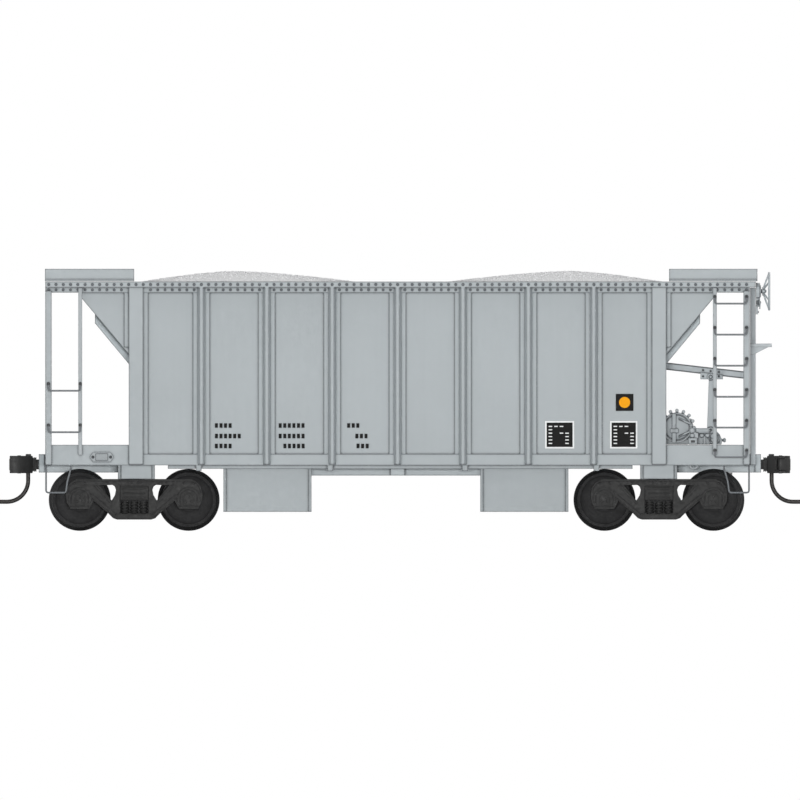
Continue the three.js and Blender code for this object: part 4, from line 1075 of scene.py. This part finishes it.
def coupler(end):
    """Coupler drawn outwards from its pivot, then turned round for the A end."""
    direction = 1 if end == "b" else -1
    pivot = Box(f"lid_screw_{end}").centre[0]
    low, high = 9.85, 12.83

    def local(points):
        return [(pivot + direction * x, direction * y) for x, y in points]

    def placed(x):
        return pivot + direction * x

    shank = Shape()
    ring = arc((0, 0), 1.75, 25, 335, 22) + arc((0, 0), 0.92, 335, 25, 16)
    shank.prism(local(ring), (10.5, 12.2), "z")
    shank.prism(local([(1.2, -0.75), (6.6, -0.75), (6.6, 0.75), (1.2, 0.75)]), (10.5, 12.2), "z")
    for start, half in ((6.5, 0.8), (6.78, 0.9), (7.06, 1.0)):
        tooth = [(start, -half), (start + 0.2, -half - 0.06), (start + 0.2, half + 0.06), (start, half)]
        shank.prism(local(tooth), (10.1, 12.6), "z")
    shank.prism(local([(6.5, -0.8), (7.4, -0.95), (7.4, 0.95), (6.5, 0.8)]), (10.25, 12.45), "z")
    shank.bevelled(0.14, 2)
    head = Shape()
    outline = [(7.15, -1.25), (8.7, -1.9), (8.72, 0.3), (9.05, 0.85)]
    outline += [(9.7, 1.35), (10.8, 1.95), (11.1, 2.45), (10.9, 2.9), (10.3, 3.0), (9.1, 2.65)]
    outline += [(7.9, 1.9), (7.15, 1.25)]
    head.prism(local(outline), (low, high), "z")
    lug = [(8.5, -2.0)] + arc((9.45, -1.6), 0.76, -140, 40, 10) + [(8.5, -0.7)]
    for z in ((low, low + 0.45), (high - 0.45, high)):
        head.prism(local(lug), z, "z")
    head.prism(local([(7.4, -0.75), (8.35, -0.75), (8.35, 0.75), (7.4, 0.75)]), (high - 0.1, high + 0.3), "z")
    head.bevelled(0.13, 3)
    shank.add(head)
    pin = (placed(9.45), direction * -1.55, 0)
    shank.turned([(0, low - 0.05), (0.3, low - 0.05), (0.3, high + 0.08), (0, high + 0.08)], pin, "z", 20)
    body = f"coupler_shank_{end}"
    shank.piece(f"coupler_{end}_head", body, COUPLER_BLACK, [f"coupler_{end}"], "black_plastic")

    jaw = Shape()
    outline = arc((9.45, -1.55), 0.6, 130, 290, 10)
    outline += [(10.45, -2.05), (10.95, -1.75), (11.15, -1.3), (11.15, 0.1), (11.05, 0.35), (10.8, 0.42)]
    outline += [(10.45, 0.35), (10.28, 0.1), (10.2, -0.5), (9.9, -0.85)]
    jaw.prism(local(outline), (low + 0.5, high - 0.5), "z")
    jaw.bevelled(0.1, 3)
    knuckle = f"knuckle_{end}"
    jaw.piece(f"{knuckle}_jaw", f"coupler_{knuckle}", COUPLER_BLACK, [knuckle], "black_plastic")

    trip_pin = Shape()
    x, radius, drop = 7.92, 3.63, 4.97
    path = [(x, high - 2.1), (x, drop + radius)]
    steps = 14
    for i in range(1, steps + 1):
        a = math.pi / 2 * i / steps
        path.append((x + radius - radius * math.cos(a), drop + radius - radius * math.sin(a)))
    path.append((x + 5.5, drop))
    trip_pin.wire([(placed(px), 0, pz) for px, pz in path], 0.36, 16)
    trip_pin.piece(f"trip_pin_{end}_wire", body, BRONZE, [f"trip_pin_{end}"], "bronze")


coupler("a")
coupler("b")

# ---- stencils

PANEL = SIDE_FACE + 0.02


def marking(shape, side, x, z, depth):
    """A printed rectangle; the far side's marks run the other way."""
    xs = x if side < 0 else (-x[1], -x[0])
    shape.box(xs, outwards(side, PANEL, PANEL + depth), z)


def dashes(shape, side, z, words):
    """Rows of plain upright dashes where the car's data is stencilled; they spell nothing."""
    for start, count in words:
        for i in range(count):
            x = start + 0.78 * i
            marking(shape, side, (x, x + 0.5), (z - 0.38, z + 0.38), 0.03)


def stencils(side):
    label = "near" if side < 0 else "far"
    black, white, yellow = Shape(), Shape(), Shape()
    for x in ((25.2, 30.2), (36.3, 41.0)):
        marking(white, side, x, (14.06, 18.78), 0.02)
        marking(black, side, (x[0] + 0.28, x[1] - 0.28), (14.34, 18.5), 0.035)
        for row, marks in enumerate(((0, 1, 2), (0,), (0, 2, 3), (0, 3), (0, 3), (0, 3))):
            z = 17.85 - 0.58 * row
            for slot in marks:
                start = x[0] + 0.62 + 0.95 * slot
                marking(white, side, (start, start + 0.6), (z - 0.09, z + 0.09), 0.05)
    marking(black, side, (37.3, 40.3), (20.5, 23.4), 0.03)
    dot_x = 38.8 if side < 0 else -38.8
    dot = [(0, 0.02), (0.94, 0.02), (0.94, 0.05), (0, 0.05)]
    yellow.turned(dot, (dot_x, side * PANEL, 21.95), sign=side)
    dashes(black, side, 18.0, ((-31.2, 4), (-20.3, 6), (-8.6, 3)))
    dashes(black, side, 16.2, ((-31.2, 6), (-20.3, 6), (-7.2, 3)))
    dashes(black, side, 14.5, ((-31.2, 4), (-19.5, 5), (-7.0, 3)))
    black.piece(f"stencil_black_{label}", "car", INK_BLACK)
    white.piece(f"stencil_white_{label}", "car", INK_WHITE)
    yellow.piece(f"stencil_dot_{label}", "car", INK_YELLOW)


for car_side in (NEAR, FAR):
    stencils(car_side)

# ---- stage, light and camera


def studio():
    """A large pale floor under the wheels."""
    half = 3.0
    mesh = bpy.data.meshes.new("studio_floor")
    corners = [(-half, -half, 0), (half, -half, 0), (half, half, 0), (-half, half, 0)]
    mesh.from_pydata(corners, [], [(0, 1, 2, 3)])
    obj = bpy.data.objects.new("studio_floor", mesh)
    bpy.context.scene.collection.objects.link(obj)
    n = Nodes("pale_floor")
    tone = n.mix(n.spread(n.noise(0.002), 0.3, 0.7), (0.86, 0.86, 0.86), (0.82, 0.82, 0.82))
    mesh.materials.append(n.finish(tone, 0.9, 0.1))


def soft_light(name, place, size, power, aim=(0, 0, 0.02)):
    light = bpy.data.lights.new(name, "AREA")
    light.shape = "RECTANGLE"
    light.size, light.size_y = size
    light.energy = power
    obj = bpy.data.objects.new(name, light)
    obj.location = place
    obj.rotation_euler = (Vector(aim) - Vector(place)).to_track_quat("-Z", "Y").to_euler()
    bpy.context.scene.collection.objects.link(obj)


def soft_world(seen, cast):
    """White behind the car, and a weaker even light on it."""
    world = bpy.data.worlds.new("soft_white")
    world.use_nodes = True
    tree = world.node_tree
    background = tree.nodes["Background"]
    background.inputs["Color"].default_value = (1, 1, 1, 1)
    path = tree.nodes.new("ShaderNodeLightPath")
    strength = tree.nodes.new("ShaderNodeMapRange")
    strength.inputs["To Min"].default_value = cast
    strength.inputs["To Max"].default_value = seen
    tree.links.new(path.outputs["Is Camera Ray"], strength.inputs["Value"])
    tree.links.new(strength.outputs["Result"], background.inputs["Strength"])
    bpy.context.scene.world = world


def camera():
    """Level view square to the near side, without perspective."""
    data = bpy.data.cameras.new("side_camera")
    data.type = "ORTHO"
    data.ortho_scale = 0.1367
    data.clip_start, data.clip_end = 0.01, 10
    obj = bpy.data.objects.new("side_camera", data)
    obj.location = ((BODY_MIDDLE + 0.42) * MM, -0.5, 0.02236)
    obj.rotation_euler = (math.pi / 2, 0, 0)
    bpy.context.scene.collection.objects.link(obj)
    bpy.context.scene.camera = obj


studio()
soft_light("key", (-0.3, -0.75, 0.75), (0.5, 0.5), 0.8)
soft_light("front", (0.0, -1.0, 0.021), (0.16, 0.036), 4.8, (0, 0, 0.021))
soft_light("left", (-0.9, -0.7, 0.1), (0.4, 0.2), 0.7)
soft_light("right", (0.9, -0.7, 0.1), (0.4, 0.2), 0.7)
soft_light("end_a", (-1.2, 0.1, 0.25), (0.4, 0.3), 3.2)
soft_light("end_b", (1.2, 0.1, 0.25), (0.4, 0.3), 3.2)
soft_light("top", (0.0, -0.25, 1.0), (0.5, 0.5), 2.5)
soft_light("back", (0.3, 0.9, 0.6), (0.7, 0.5), 4.2)
soft_world(1.0, 0.13)
bpy.context.scene.view_settings.view_transform = "Standard"
camera()
